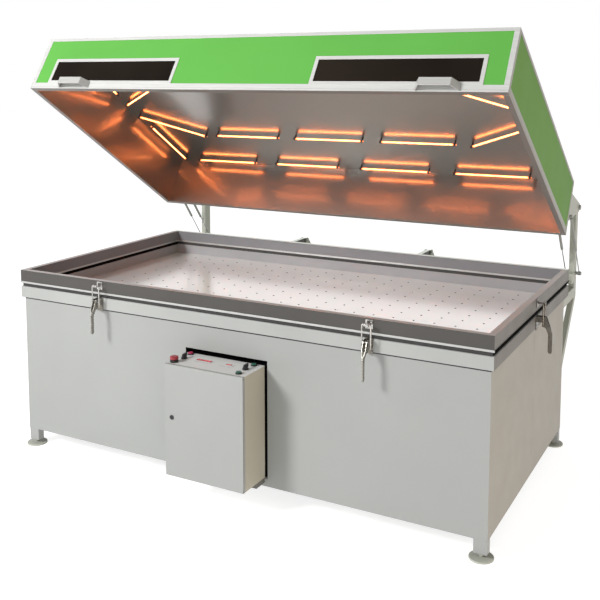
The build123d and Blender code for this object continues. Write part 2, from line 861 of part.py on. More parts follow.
with BuildPart() as pivot_pins:
    for side in (-1, 1):
        grip = sided(side, bracket_planes[0][0] - moving_gap, bracket_planes[1][1] + moving_gap)
        cross_rod(grip, *pivot, pivot_radius)
        hexagon((grip[1], *pivot), (1, 0, 0), bolt_head_flats, bolt_head_height)
        hexagon((grip[0], *pivot), (-1, 0, 0), bolt_head_flats, bolt_head_height)
        low, high = sided(side, spring_inner - eye_half - moving_gap, spring_outer + eye_half + moving_gap)
        cross_rod((low, high), anchor.Y, anchor.Z, spring_pin_radius)
        for collar in (
            (low - collar_wall, low),
            (high, high + collar_wall),
            sided(side, stand_outer, spring_outer - eye_half - moving_gap),
            sided(side, spring_inner + eye_half + moving_gap, stand_inner),
        ):
            cross_rod(collar, anchor.Y, anchor.Z, collar_radius)
        low, high = sided(side, ear_near, ear_far + hinge_ear_thickness)
        cross_rod((low, high), hinge_y, hinge_pin_height, hinge_pin_radius)
        for head in ((low - collar_wall, low), (high, high + collar_wall)):
            cross_rod(head, hinge_y, hinge_pin_height, hinge_pin_radius + collar_wall / 2)
pivot_pins.part.label = "pivot_pins"
export_step(pivot_pins.part, "parts/pivot_pins.step")

# Toggle latches: each place has X along the latch, Y up and Z out of the face it sits on
side_middle = front + frame_depth / 2
latch_places = {
    "front_left": Plane(origin=(-latch_offset, front, 0), x_dir=(1, 0, 0), z_dir=(0, -1, 0)),
    "front_right": Plane(origin=(latch_offset, front, 0), x_dir=(1, 0, 0), z_dir=(0, -1, 0)),
    "side_left": Plane(origin=(-half_length, side_middle, 0), x_dir=(0, -1, 0), z_dir=(-1, 0, 0)),
    "side_right": Plane(origin=(half_length, side_middle, 0), x_dir=(0, 1, 0), z_dir=(1, 0, 0)),
}
over_centre = math.radians(latch_over_centre)
bail_pivot = (
    latch_pivot_height - latch_throw * math.cos(over_centre),
    latch_pivot_out - latch_throw * math.sin(over_centre),
)
bail_top = film_bottom + bail_above
foot_top = bail_top - bail_radius - keeper_drop


def latch_bar(place, along, up, out, mode=Mode.ADD):
    """A box in a latch's own directions."""
    with Locations(place):
        bar(along, up, out, mode)


def latch_rod(place, start, end, radius, mode=Mode.ADD):
    """A round bar between two points in a latch's own directions."""
    rod(place.from_local_coords(Vector(start)), place.from_local_coords(Vector(end)), radius, mode)


with BuildPart() as latch_bases:
    for place in latch_places.values():
        half = latch_base_width / 2
        base_span = (latch_pivot_height - latch_base_below, latch_pivot_height + latch_base_above)
        latch_bar(place, (-half, half), base_span, (0, latch_base_thickness))
        for side in (-1, 1):
            ear = sided(side, ear_inner, ear_inner + ear_thickness)
            latch_bar(place, ear, (latch_pivot_height - 2 * ear_radius, latch_pivot_height + ear_radius),
                      (latch_base_thickness, latch_pivot_out))
            latch_rod(place, (ear[0], latch_pivot_height, latch_pivot_out),
                      (ear[1], latch_pivot_height, latch_pivot_out), ear_radius)
        latch_rod(place, (-half, latch_pivot_height, latch_pivot_out),
                  (half, latch_pivot_height, latch_pivot_out), rivet_radius + running_fit, Mode.SUBTRACT)
latch_bases.part.label = "latch_bases"
export_step(latch_bases.part, "parts/latch_bases.step")

keeper_top = film_top - keeper_below

with BuildPart() as latch_keepers:
    for place in latch_places.values():
        half = keeper_width / 2
        lip_out = bail_pivot[1] + bail_radius + keeper_drop
        foot_bottom = foot_top - keeper_thickness
        latch_bar(place, (-half, half), (film_bottom + keeper_above, keeper_top), (0, keeper_thickness))
        # The hook that the bail's top hangs on: a foot with a lip at its front
        latch_bar(place, (-keeper_hook, keeper_hook), (foot_bottom, foot_top),
                  (keeper_thickness, lip_out + keeper_thickness))
        latch_bar(place, (-keeper_hook, keeper_hook), (foot_top, foot_top + keeper_lip),
                  (lip_out, lip_out + keeper_thickness))
        latch_bar(place, (-half / 2, half / 2), (foot_top + keeper_drop, keeper_top - keeper_thickness * 2),
                  (0, keeper_thickness), Mode.SUBTRACT)
latch_keepers.part.label = "latch_keepers"
export_step(latch_keepers.part, "parts/latch_keepers.step")

lever_knee = latch_pivot_height - lever_knee_drop
lever_tip = latch_pivot_height - lever_tip_drop
lever_half = lever_width / 2
lever_middle = lever_out - lever_depth / 2
arm_length = math.hypot(lever_middle - latch_pivot_out, lever_knee_drop)
cheek_outer = cheek_inner + cheek_thickness
# The cheek's outline, as heights and distances out, round both of its pivots
belly_height = latch_pivot_height - lever_knee_drop * lever_belly
belly_out = latch_pivot_out + (lever_middle - latch_pivot_out) * lever_belly
cheek_outline = [
    (latch_pivot_height, latch_pivot_out - ear_radius),
    (latch_pivot_height, latch_pivot_out + ear_radius),
    (belly_height + lever_half, belly_out + lever_depth / 2),
    (bail_pivot[0] - 2 * lever_boss, belly_out),
    (bail_pivot[0] - lever_boss, bail_pivot[1] - lever_boss),
]

for name, place in latch_places.items():
    # The arm's own plane starts at the lever's pivot, with Y along the arm down to its knee
    pivot_point = place.from_local_coords(Vector(0, latch_pivot_height, latch_pivot_out))
    knee_point = place.from_local_coords(Vector(0, lever_knee, lever_middle))
    arm_run = knee_point - pivot_point
    arm_plane = Plane(origin=pivot_point, x_dir=place.x_dir, z_dir=place.x_dir.cross(arm_run))
    with BuildPart() as latch_lever:
        outer = [
            (-cheek_outer, 0),
            (cheek_outer, 0),
            (cheek_outer, arm_length * lever_belly),
            (lever_half, arm_length * lever_neck),
            (lever_half, arm_length),
            (-lever_half, arm_length),
            (-lever_half, arm_length * lever_neck),
            (-cheek_outer, arm_length * lever_belly),
        ]
        inner = [
            (-cheek_inner, -arm_length),
            (cheek_inner, -arm_length),
            (cheek_inner, arm_length * lever_slot_side),
            (lever_slot_tip, arm_length * lever_slot_end),
            (-lever_slot_tip, arm_length * lever_slot_end),
            (-cheek_inner, arm_length * lever_slot_side),
        ]
        prism(arm_plane.offset(-lever_depth / 2), outer, lever_depth)
        prism(arm_plane.offset(-lever_depth / 2), inner, lever_depth, Mode.SUBTRACT)
        for side in (-1, 1):
            cheek = sided(side, cheek_inner, cheek_outer)
            cheek_start = place.from_local_coords(Vector(cheek[0], 0, 0))
            cheek_plane = Plane(origin=cheek_start, x_dir=(0, 0, 1), z_dir=place.x_dir)
            prism(cheek_plane, cheek_outline, cheek_thickness)
            latch_rod(place, (cheek[0], latch_pivot_height, latch_pivot_out),
                      (cheek[1], latch_pivot_height, latch_pivot_out), ear_radius)
            latch_rod(place, (cheek[0], *bail_pivot), (cheek[1], *bail_pivot), lever_boss)
            latch_rod(place, (cheek[0], *bail_pivot), (cheek[1], *bail_pivot),
                      bail_radius + running_fit, Mode.SUBTRACT)
        # The handle stands edge on, with a round knee and a round end
        end_height = lever_tip + lever_depth / 2
        latch_bar(place, (-lever_half, lever_half), (end_height, lever_knee),
                  (lever_out - lever_depth, lever_out))
        for height in (end_height, lever_knee):
            latch_rod(place, (-lever_half, height, lever_middle), (lever_half, height, lever_middle),
                      lever_depth / 2)
        rivet_half = ear_inner + ear_thickness + rivet_reach
        latch_rod(place, (-rivet_half, latch_pivot_height, latch_pivot_out),
                  (rivet_half, latch_pivot_height, latch_pivot_out), rivet_radius)
    write(latch_lever.part, f"latch_lever_{name}")

    with BuildPart() as latch_bail:
        wire_x = bail_half_width
        wire_out = bail_pivot[1]
        eye_end = cheek_inner - moving_gap
        points = [
            Vector(-eye_end, bail_pivot[0], wire_out),
            Vector(-wire_x, bail_pivot[0], wire_out),
            Vector(-wire_x, bail_top, wire_out),
            Vector(wire_x, bail_top, wire_out),
            Vector(wire_x, bail_pivot[0], wire_out),
            Vector(eye_end, bail_pivot[0], wire_out),
        ]
        with BuildLine() as wire:
            FilletPolyline(*[place.from_local_coords(point) for point in points],
                           radius=bail_corner)
        start = points[0]
        with BuildSketch(Plane(origin=place.from_local_coords(start), z_dir=place.x_dir)) as section:
            Circle(bail_radius)
        sweep(section.sketch, path=wire.line)
    write(latch_bail.part, f"latch_bail_{name}")

# Control cabinet: shell, control plate, supports, door and lock
shell_front = front - cabinet_reach + door_depth + door_gap
shell_back = front + cabinet_back
plate_bottom = cabinet_top - control_plate
door_front = front - cabinet_reach
door_pivot = (cabinet_half - door_pivot_in, door_front + door_pivot_behind)
top_lug = (plate_bottom - door_lug_inset - door_lug, plate_bottom - door_lug_inset)
low_lug = (cabinet_bottom + control_plate + door_lug_inset,
           cabinet_bottom + control_plate + door_lug_inset + door_lug)
lug_x = (door_pivot[0] - door_lug, door_pivot[0] + door_pin_radius)
control_places = (estop_place, selector_left_place, red_button_place, green_front_place,
                  selector_right_place, green_rear_place)

with BuildPart() as cabinet_shell:
    bar((-cabinet_half, cabinet_half), (shell_front, shell_back), (cabinet_bottom, plate_bottom))
    bar((-cabinet_half + sheet, cabinet_half - sheet), (shell_front + sheet, shell_back - sheet),
        (cabinet_bottom + sheet, plate_bottom), Mode.SUBTRACT)
    bar((-cabinet_half + door_margin, cabinet_half - door_margin), (shell_front, shell_front + sheet),
        (cabinet_bottom + door_margin, plate_bottom - door_margin), Mode.SUBTRACT)
    # Hinge lugs, each with its pin
    for lug_z in (top_lug, low_lug):
        bar(lug_x, (door_pivot[1] - door_pin_radius, shell_front), lug_z)
    upright(*door_pivot, (top_lug[0], cabinet_top), door_pin_radius)
    upright(*door_pivot, (cabinet_bottom, low_lug[1]), door_pin_radius)
cabinet_shell.part.label = "cabinet_shell"
export_step(cabinet_shell.part, "parts/cabinet_shell.step")

with BuildPart() as control_panel:
    bar((-cabinet_half, cabinet_half), (shell_front, shell_back), (plate_bottom, cabinet_top))
    for x, y in control_places:
        upright(x, front + y, (plate_bottom, cabinet_top), barrel_radius, Mode.SUBTRACT)
    for left, right, near, far in (display_left, display_right):
        bar((left, right), (front + near, front + far), (plate_bottom, cabinet_top), Mode.SUBTRACT)
control_panel.part.label = "control_panel"
export_step(control_panel.part, "parts/control_panel.step")

with BuildPart() as displays:
    for left, right, near, far in (display_left, display_right):
        bar((left, right), (front + near, front + far),
            (plate_bottom - contact_block[2], cabinet_top + display_proud))
displays.part.label = "displays"
export_step(displays.part, "parts/displays.step")

with BuildPart() as cabinet_supports:
    for side in (-1, 1):
        bar(sided(side, support_offset - support_width / 2, support_offset + support_width / 2),
            (body_front - support_reach, body_front), (cabinet_bottom - support_width, cabinet_bottom))
cabinet_supports.part.label = "cabinet_supports"
export_step(cabinet_supports.part, "parts/cabinet_supports.step")

plate_y = (shell_back - sheet - mounting_standoff - tray_sheet, shell_back - sheet - mounting_standoff)
plate_half = cabinet_half - mounting_plate_inset
plate_z = (cabinet_bottom + mounting_plate_inset, plate_bottom - 2 * mounting_plate_inset)
row_pitch = (plate_z[1] - plate_z[0]) / rail_rows
row_heights = [plate_z[0] + row_pitch * (index + 0.5) for index in range(rail_rows)]

with BuildPart() as switchgear:
    bar((-plate_half, plate_half), plate_y, plate_z)
    for side in (-1, 1):
        for z in plate_z:
            inward = door_margin if z == plate_z[0] else -door_margin
            x = side * (plate_half - door_margin)
            rod((x, plate_y[1], z + inward), (x, shell_back - sheet, z + inward), stud_radius)
    for z in row_heights:
        bar((-plate_half + door_margin, plate_half - door_margin), (plate_y[0] - din_height, plate_y[0]),
            (z - din_width / 2, z + din_width / 2))
    # Contactors, breakers and a terminal strip, clipped on the rails
    gear_width, gear_depth, gear_height = contactor
    gear_back = plate_y[0] - din_height - weld_gap
    gear_pitch = gear_width + gear_gap
    for index in range(gear_count):
        x = (index - (gear_count - 1) / 2) * gear_pitch
        bar((x - gear_width / 2, x + gear_width / 2), (gear_back - gear_depth, gear_back),
            (row_heights[1] - gear_height / 2, row_heights[1] + gear_height / 2))
        bar((x - gear_width / 2, x + gear_width / 2), (gear_back - gear_depth * breaker_share, gear_back),
            (row_heights[2] - gear_height / 2, row_heights[2] + gear_height / 2))
    strip_half = (gear_count - 1) / 2 * gear_pitch
    bar((-strip_half, strip_half), (gear_back - gear_depth * terminal_share, gear_back),
        (row_heights[0] - gear_height / 3, row_heights[0] + gear_height / 3))
switchgear.part.label = "switchgear"
export_step(switchgear.part, "parts/switchgear.step")

with BuildPart() as cabinet_door:
    door_y = (door_front, door_front + door_depth)
    door_z = (cabinet_bottom, cabinet_top)
    bar((-cabinet_half, cabinet_half), door_y, door_z)
    bar((-cabinet_half + sheet, cabinet_half - sheet), (door_front + sheet, door_y[1]),
        (door_z[0] + sheet, door_z[1] - sheet), Mode.SUBTRACT)
    for lug_z in (top_lug, low_lug):
        bar((cabinet_half - sheet, cabinet_half), (door_front + sheet, door_y[1]),
            (lug_z[0] - lug_notch, lug_z[1] + lug_notch), Mode.SUBTRACT)
    upright(*door_pivot, door_z, door_pin_radius + running_fit, Mode.SUBTRACT)
    rod((-lock_offset, door_front, lock_height), (-lock_offset, door_front + sheet, lock_height),
        lock_barrel + running_fit, Mode.SUBTRACT)
cabinet_door.part.label = "cabinet_door"
export_step(cabinet_door.part, "parts/cabinet_door.step")

with BuildPart() as door_lock:
    # Head, barrel and cam; the cam stands upright while the door is free to open
    cam_y = (shell_front + sheet + lock_clear, shell_front + sheet + lock_clear + control_plate)
    rod((-lock_offset, door_front - lock_proud, lock_height),
        (-lock_offset, door_front - moving_gap / 3, lock_height), lock_radius)
    rod((-lock_offset, door_front - moving_gap / 3, lock_height),
        (-lock_offset, cam_y[1], lock_height), lock_barrel)
    bar((-lock_offset - lock_cam_width / 2, -lock_offset + lock_cam_width / 2), cam_y,
        (lock_height - lock_cam_width / 2, lock_height + lock_cam_length))
    bar((-lock_offset - lock_slot / 2, -lock_offset + lock_slot / 2),
        (door_front - lock_proud, door_front - lock_proud / 2),
        (lock_height - lock_barrel / 2, lock_height + lock_barrel / 2), Mode.SUBTRACT)
door_lock.part.label = "door_lock"
export_step(door_lock.part, "parts/door_lock.step")

# Controls: barrels with their rings and contact blocks stay, caps and knobs move
button_places = {
    "red_button": red_button_place,
    "green_button_front": green_front_place,
    "green_button_rear": green_rear_place,
}
selector_places = {"selector_left": selector_left_place, "selector_right": selector_right_place}
barrel_bottom = cabinet_top - barrel_depth
bore_radius = stem_radius + running_fit * 2
seat_top = cabinet_top + sheet


def contact_barrel(x, y):
    """The fixed barrel under a control, with the contact block at its lower end."""
    upright(x, y, (barrel_bottom, cabinet_top), barrel_radius)
    bar((x - contact_block[0] / 2, x + contact_block[0] / 2),
        (y - contact_block[1] / 2, y + contact_block[1] / 2),
        (barrel_bottom - contact_block[2], barrel_bottom))


with BuildPart() as control_bezels:
    for x, y in button_places.values():
        contact_barrel(x, front + y)
        upright(x, front + y, (cabinet_top, cabinet_top + bezel_height), bezel_radius)
        upright(x, front + y, (seat_top, cabinet_top + bezel_height), button_radius + moving_gap,
                Mode.SUBTRACT)
        upright(x, front + y, (barrel_bottom, seat_top), bore_radius, Mode.SUBTRACT)
    for x, y in selector_places.values():
        contact_barrel(x, front + y)
        upright(x, front + y, (cabinet_top, cabinet_top + bezel_height), bezel_radius)
        upright(x, front + y, (barrel_bottom, cabinet_top + bezel_height), bore_radius, Mode.SUBTRACT)
    x, y = estop_place
    contact_barrel(x, front + y)
    upright(x, front + y, (cabinet_top, cabinet_top + estop_base_height), estop_radius)
    upright(x, front + y, (barrel_bottom, cabinet_top + estop_base_height), bore_radius, Mode.SUBTRACT)
control_bezels.part.label = "control_bezels"
export_step(control_bezels.part, "parts/control_bezels.step")

for name, (x, y) in button_places.items():
    with BuildPart() as push_button:
        cap_bottom = seat_top + button_travel + moving_gap
        upright(x, front + y, (cap_bottom, cap_bottom + button_height), button_radius)
        top_edge = push_button.edges().filter_by(GeomType.CIRCLE).sort_by(Axis.Z)[-1]
        fillet(top_edge, button_height / 4)
        upright(x, front + y, (barrel_bottom + button_travel + moving_gap, cap_bottom), stem_radius)
    write(push_button.part, name)

with BuildPart() as estop_cap:
    x, y = estop_place
    cap_bottom = cabinet_top + estop_base_height + estop_travel + moving_gap
    upright(x, front + y, (cap_bottom, cap_bottom + estop_cap_height), estop_radius)
    top_edge = estop_cap.edges().filter_by(GeomType.CIRCLE).sort_by(Axis.Z)[-1]
    fillet(top_edge, estop_cap_height / 3)
    upright(x, front + y, (barrel_bottom + estop_travel + moving_gap, cap_bottom), stem_radius)
estop_cap.part.label = "estop_cap"
export_step(estop_cap.part, "parts/estop_cap.step")

for name, (x, y) in selector_places.items():
    with BuildPart() as selector:
        knob_bottom = cabinet_top + bezel_height + moving_gap
        knob_top = knob_bottom + knob_height
        middle_y = front + y
        upright(x, middle_y, (knob_bottom, knob_top), knob_radius)
        upright(x, middle_y, (barrel_bottom + moving_gap, knob_bottom), stem_radius)
        bar((x - knob_grip_width / 2, x + knob_grip_width / 2),
            (middle_y - knob_grip_front, middle_y + knob_grip_rear),
            (knob_top - knob_height / 2, knob_top + knob_grip_height))
        grip_edges = selector.edges().filter_by(Axis.Y).group_by(Axis.Z)[-1]
        fillet(grip_edges, knob_grip_width / 4)
    write(selector.part, name)

# Vacuum pump set: shelf on the rails, pump, motor, filter, valve and pipe up to the tray
pump_x, pump_y = pump_middle[0], front + pump_middle[1]
shelf_bottom = body_bottom + rail_size
shelf_top = shelf_bottom + shelf_thickness
pump_bottom = shelf_top + pump_foot
pump_top = pump_bottom + pump_height
shaft_z = pump_bottom + pump_height / 2
pump_span = (pump_x - pump_width / 2, pump_x + pump_width / 2)
motor_span = (pump_span[1], pump_span[1] + motor_length)
cowl_span = (motor_span[1], motor_span[1] + cowl_length)

with BuildPart() as pump_shelf:
    shelf_middle = pump_x + motor_length / 2 - cowl_length
    bar((shelf_middle - shelf_width / 2, shelf_middle + shelf_width / 2),
        (pump_y - pump_depth, pump_y + pump_depth), (shelf_bottom, shelf_top))
pump_shelf.part.label = "pump_shelf"
export_step(pump_shelf.part, "parts/pump_shelf.step")

with BuildPart() as vacuum_pump:
    bar(pump_span, (pump_y - pump_depth / 2, pump_y + pump_depth / 2), (pump_bottom, pump_top))
    for x in pump_span:
        foot = (x, x + leg_depth) if x == pump_span[0] else (x - leg_depth, x)
        bar(foot, (pump_y - pump_depth / 2, pump_y + pump_depth / 2), (shelf_top, pump_bottom))
    cross_rod((pump_span[0] + motor_wall, pump_span[1] - motor_wall), pump_y, shaft_z, pump_chamber,
              Mode.SUBTRACT)
    cross_rod((pump_span[1] - motor_wall, pump_span[1]), pump_y, shaft_z,
              shaft_radius + running_fit, Mode.SUBTRACT)
    upright(pump_x, pump_y, (shaft_z, pump_top), pipe_radius - pipe_wall, Mode.SUBTRACT)
vacuum_pump.part.label = "vacuum_pump"
export_step(vacuum_pump.part, "parts/vacuum_pump.step")

with BuildPart() as pump_motor:
    cross_rod(motor_span, pump_y, shaft_z, motor_radius)
    bar((motor_span[0] + motor_wall, motor_span[1] - motor_wall),
        (pump_y - motor_radius, pump_y + motor_radius), (shelf_top, shaft_z - motor_radius / 2))
    cross_rod(cowl_span, pump_y, shaft_z, motor_radius)
    cross_rod((cowl_span[0], cowl_span[1] - cowl_wall), pump_y, shaft_z, motor_radius - cowl_wall,
              Mode.SUBTRACT)
    cross_rod((cowl_span[1] - cowl_wall, cowl_span[1]), pump_y, shaft_z, fan_radius / 2, Mode.SUBTRACT)
    cross_rod((motor_span[0] + motor_wall, motor_span[1] - motor_wall), pump_y, shaft_z,
              motor_radius - motor_wall, Mode.SUBTRACT)
    cross_rod(motor_span, pump_y, shaft_z, shaft_radius + running_fit, Mode.SUBTRACT)
pump_motor.part.label = "pump_motor"
export_step(pump_motor.part, "parts/pump_motor.step")

with BuildPart() as pump_rotor:
    cross_rod((pump_span[0] + motor_wall + moving_gap, cowl_span[0] + cowl_length / 2), pump_y, shaft_z,
              shaft_radius)
    cross_rod((pump_span[0] + motor_wall + moving_gap, pump_span[1] - motor_wall - moving_gap), pump_y,
              shaft_z, pump_rotor_radius)
    cross_rod((motor_span[0] + motor_wall * 2, motor_span[1] - motor_wall * 2), pump_y, shaft_z,
              motor_rotor_radius)
    # Cooling fan keyed on the shaft's far end
    fan_span = (cowl_span[0] + cowl_wall, cowl_span[0] + cowl_wall + fan_width)
    cross_rod(fan_span, pump_y, shaft_z, fan_hub)
    for index in range(fan_blades):
        lean = 2 * math.pi * index / fan_blades
        outward = Vector(0, math.cos(lean), math.sin(lean))
        blade_plane = Plane(origin=(fan_span[0], pump_y, shaft_z), x_dir=outward, z_dir=(1, 0, 0))
        blade = [
            (shaft_radius, -sheet),
            (fan_radius, -sheet),
            (fan_radius, sheet),
            (shaft_radius, sheet),
        ]
        prism(blade_plane, blade, fan_width)
pump_rotor.part.label = "pump_rotor"
export_step(pump_rotor.part, "parts/pump_rotor.step")

filter_top = pump_top + filter_height
valve_top = filter_top + valve_height

with BuildPart() as vacuum_filter:
    upright(pump_x, pump_y, (pump_top + motor_wall, filter_top), filter_radius)
    upright(pump_x, pump_y, (pump_top, pump_top + motor_wall), pipe_radius)
    upright(pump_x, pump_y, (pump_top + 2 * motor_wall, filter_top - motor_wall),
            filter_radius - pipe_wall, Mode.SUBTRACT)
    upright(pump_x, pump_y, (pump_top, filter_top), pipe_radius - pipe_wall, Mode.SUBTRACT)
vacuum_filter.part.label = "vacuum_filter"
export_step(vacuum_filter.part, "parts/vacuum_filter.step")

with BuildPart() as solenoid_valve:
    valve_half = valve_width / 2
    bar((pump_x - valve_half, pump_x + valve_half), (pump_y - valve_half, pump_y + valve_half),
        (filter_top, valve_top))
    bar((pump_x - valve_half - coil_width, pump_x - valve_half),
        (pump_y - coil_width / 2, pump_y + coil_width / 2),
        (filter_top + motor_wall, valve_top - motor_wall))
    upright(pump_x, pump_y, (filter_top, valve_top), pipe_radius - pipe_wall, Mode.SUBTRACT)
solenoid_valve.part.label = "solenoid_valve"
export_step(solenoid_valve.part, "parts/solenoid_valve.step")

with BuildPart() as vacuum_pipe:
    upright(pump_x, pump_y, (valve_top, tray_floor), pipe_radius)
    upright(pump_x, pump_y, (tray_floor - motor_wall, tray_floor), pipe_radius * 2)
    upright(pump_x, pump_y, (valve_top, tray_floor), pipe_radius - pipe_wall, Mode.SUBTRACT)
vacuum_pipe.part.label = "vacuum_pipe"
export_step(vacuum_pipe.part, "parts/vacuum_pipe.step")

# How the gas springs follow the lid, and where the latches and the door turn
print("table front at y", front)
print("spring open and shut", round(spring_open, 2), round(spring_shut, 2))
print("rod turn in degrees", round(rod_turn, 3), "for a lid turn of", lid_open_angle)
print("slide per radian in metres", round((spring_open - spring_shut) / 1000 / turn, 5))
print("spring direction", spring_run)
print("latch pivots: lever and bail", (latch_pivot_height, latch_pivot_out), bail_pivot)
print("door pivot", door_pivot)
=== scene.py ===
"""Looks of a membrane vacuum press with its infrared lid open, in metres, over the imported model."""
import json
import math

import bmesh
import bpy
from mathutils import Matrix, Vector


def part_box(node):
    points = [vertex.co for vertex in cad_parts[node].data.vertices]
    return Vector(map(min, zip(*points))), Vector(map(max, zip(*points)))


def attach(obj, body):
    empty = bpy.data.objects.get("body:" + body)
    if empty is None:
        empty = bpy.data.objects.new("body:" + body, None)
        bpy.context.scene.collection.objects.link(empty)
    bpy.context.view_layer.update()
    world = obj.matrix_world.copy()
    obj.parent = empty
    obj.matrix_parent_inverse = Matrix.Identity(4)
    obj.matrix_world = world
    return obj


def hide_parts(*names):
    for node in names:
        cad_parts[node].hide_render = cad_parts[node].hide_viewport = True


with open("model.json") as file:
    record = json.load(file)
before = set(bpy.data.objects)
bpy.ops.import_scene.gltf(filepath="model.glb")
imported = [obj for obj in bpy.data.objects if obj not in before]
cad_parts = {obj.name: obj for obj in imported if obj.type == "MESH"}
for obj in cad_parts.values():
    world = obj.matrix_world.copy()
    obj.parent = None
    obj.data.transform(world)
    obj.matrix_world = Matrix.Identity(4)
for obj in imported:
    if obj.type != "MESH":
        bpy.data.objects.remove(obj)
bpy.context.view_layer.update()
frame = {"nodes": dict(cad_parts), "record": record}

# Camera at the photograph's viewing angle
camera_place = (2.269, -4.233, 2.010)
camera_pitch = 84.0
camera_yaw = 28.289
camera_lens = 53.58
camera_sensor = 36
camera_shift = -0.2172

# Outsides of the table and film frames, and of the body under them
half_length = 1.300
front = -0.7795
rear = 0.6405
rear_bar = 0.05
body_front = front + 0.015
body_top = 0.820
# Height of the dark band painted along the top of the body's panels, as shade
top_shade_band = 0.007
cutout_half = 0.2305
cabinet_top = 0.672

# Lid pivot, and the angle from shut to where the lid rests
pivot = Vector((0, 0.9275, 1.269))
open_angle = math.radians(-32.73)
open_turn = Matrix.Rotation(open_angle, 3, "X")
lid_front = -0.7805
lid_bottom = 0.974

# Lamps, given with the lid shut: two rows on each side of the lid's middle, and four at each end
lamp_length = 0.440
lamp_radius = 0.005
lamp_cold_end = 0.022
lamp_height = lid_bottom + 0.282
lamp_middle = lid_front + 0.715
inner_row, inner_pitch = 0.275, 0.540
outer_row, outer_pitch = 0.622, 0.580
end_lamp = (1.195, 0.406)
slant_near, slant_far = (0.838, 0.293), (1.192, 0.078)

# Latches: two at the front and one on each side
latch_places = ("front_left", "front_right", "side_left", "side_right")
front_latch = 0.750
side_latch = -0.0695
latch_height = 0.8737
fitting_plate = 0.003
fitting_face = 0.0025
side_fittings = 1.25

# Holes in the bed
hole_pitch, hole_columns, hole_rows = 0.106, 21, 12

# A face looks along an axis when its normal's part along it is over the first, or leans so over the second
facing = 0.7
leaning = 0.5

# A face this near to the outside of a frame counts as on it
skin = 0.003

# Corners nearer than this are joined, and faces that differ by less than the angle are made one
merge_gap = 0.00002
flat_angle = math.radians(0.5)

# A plane cuts through a corner nearer than this
cut_gap = 0.00001

# Creases are kept above the first angle, rounded above the second, and kept on tree pieces above the third
crease_angle = math.radians(32)
round_angle = math.radians(40)
tree_crease_angle = math.radians(35)

# Colours
panel_grey = (0.312, 0.318, 0.308)
table_grey = (0.345, 0.352, 0.340)
lid_green = (0.110, 0.365, 0.068)
film_grey = (0.070, 0.066, 0.062)
filament_glow = 20.0
tube_glow = 8.0
digit_glow = 0.4
floor_glow = 0.80


def swung(point):
    """Where a point of the shut lid lies with the lid open."""
    return pivot + open_turn @ (Vector(point) - pivot)


# Materials
class Finish:
    """A material under construction: a Principled shader and the nodes that feed it."""

    def __init__(self, name, colour, roughness=0.5, metallic=0.0, **sockets):
        self.material = bpy.data.materials.new(name)
        self.material.use_nodes = True
        self.tree = self.material.node_tree
        self.shader = self.tree.nodes["Principled BSDF"]
        self.shader.inputs["Base Color"].default_value = (*colour, 1)
        self.shader.inputs["Roughness"].default_value = roughness
        self.shader.inputs["Metallic"].default_value = metallic
        for socket, value in sockets.items():
            self.shader.inputs[socket.replace("_", " ")].default_value = value
        self.place = self.node("ShaderNodeTexCoord").outputs["Object"]

    def node(self, kind, **settings):
        made = self.tree.nodes.new(kind)
        for key, value in settings.items():
            setattr(made, key, value)
        return made

    def join(self, output, target):
        self.tree.links.new(output, target)

    def glow(self, strength, colour=None):
        """The finish gives off light; its colour may come from nodes instead."""
        self.shader.inputs["Emission Strength"].default_value = strength
        if colour:
            self.shader.inputs["Emission Color"].default_value = (*colour, 1)

    def noise(self, scale, detail, stretch=(1, 1, 1), roughness=0.5):
        """A noise value over the piece, drawn out along the axes whose stretch is small."""
        mapping = self.node("ShaderNodeMapping")
        mapping.inputs["Scale"].default_value = stretch
        self.join(self.place, mapping.inputs["Vector"])
        texture = self.node("ShaderNodeTexNoise")
        texture.inputs["Scale"].default_value = scale
        texture.inputs["Detail"].default_value = detail
        texture.inputs["Roughness"].default_value = roughness
        self.join(mapping.outputs["Vector"], texture.inputs["Vector"])
        return texture.outputs["Fac"]

    def spread(self, value, low, high, start, end):
        """A value from start to end, mapped to one from low to high."""
        ramp = self.node("ShaderNodeMapRange")
        ranges = {"From Min": start, "From Max": end, "To Min": low, "To Max": high}
        for socket, number in ranges.items():
            ramp.inputs[socket].default_value = number
        self.join(value, ramp.inputs["Value"])
        return ramp.outputs["Result"]

    def blend(self, value, low, high, start, end):
        """A colour that goes from low to high as the value rises."""
        mix = self.node("ShaderNodeMix", data_type="RGBA")
        self.join(self.spread(value, 0, 1, start, end), mix.inputs[0])
        mix.inputs[6].default_value = (*low, 1)
        mix.inputs[7].default_value = (*high, 1)
        return mix.outputs[2]

    def tint(self, value, low, high, start=0.3, end=0.7):
        """The base colour goes from low to high as the value rises."""
        self.join(self.blend(value, low, high, start, end), self.shader.inputs["Base Color"])

    def dull(self, value, low, high, start=0.3, end=0.7):
        """The roughness goes from low to high as the value rises."""
        self.join(self.spread(value, low, high, start, end), self.shader.inputs["Roughness"])

    def bump(self, value, strength, depth):
        node = self.node("ShaderNodeBump")
        node.inputs["Strength"].default_value = strength
        node.inputs["Distance"].default_value = depth
        self.join(value, node.inputs["Height"])
        self.join(node.outputs["Normal"], self.shader.inputs["Normal"])


def shade(colour, share):
    return tuple(min(1.0, c * share) for c in colour)


def paint(name, colour, roughness=0.42, peel=0.10, variation=0.05, gloss=1.30):
    """Sprayed and baked paint: faint clouding, orange peel and uneven gloss."""
    finish = Finish(name, colour, roughness, 0.0, IOR=gloss)
    finish.tint(finish.noise(2.2, detail=4), shade(colour, 1 - variation), shade(colour, 1 + variation))
    finish.dull(finish.noise(7, detail=5), roughness - 0.03, roughness + 0.04)
    finish.bump(finish.noise(420, detail=2), peel, depth=0.0004)
    return finish.material


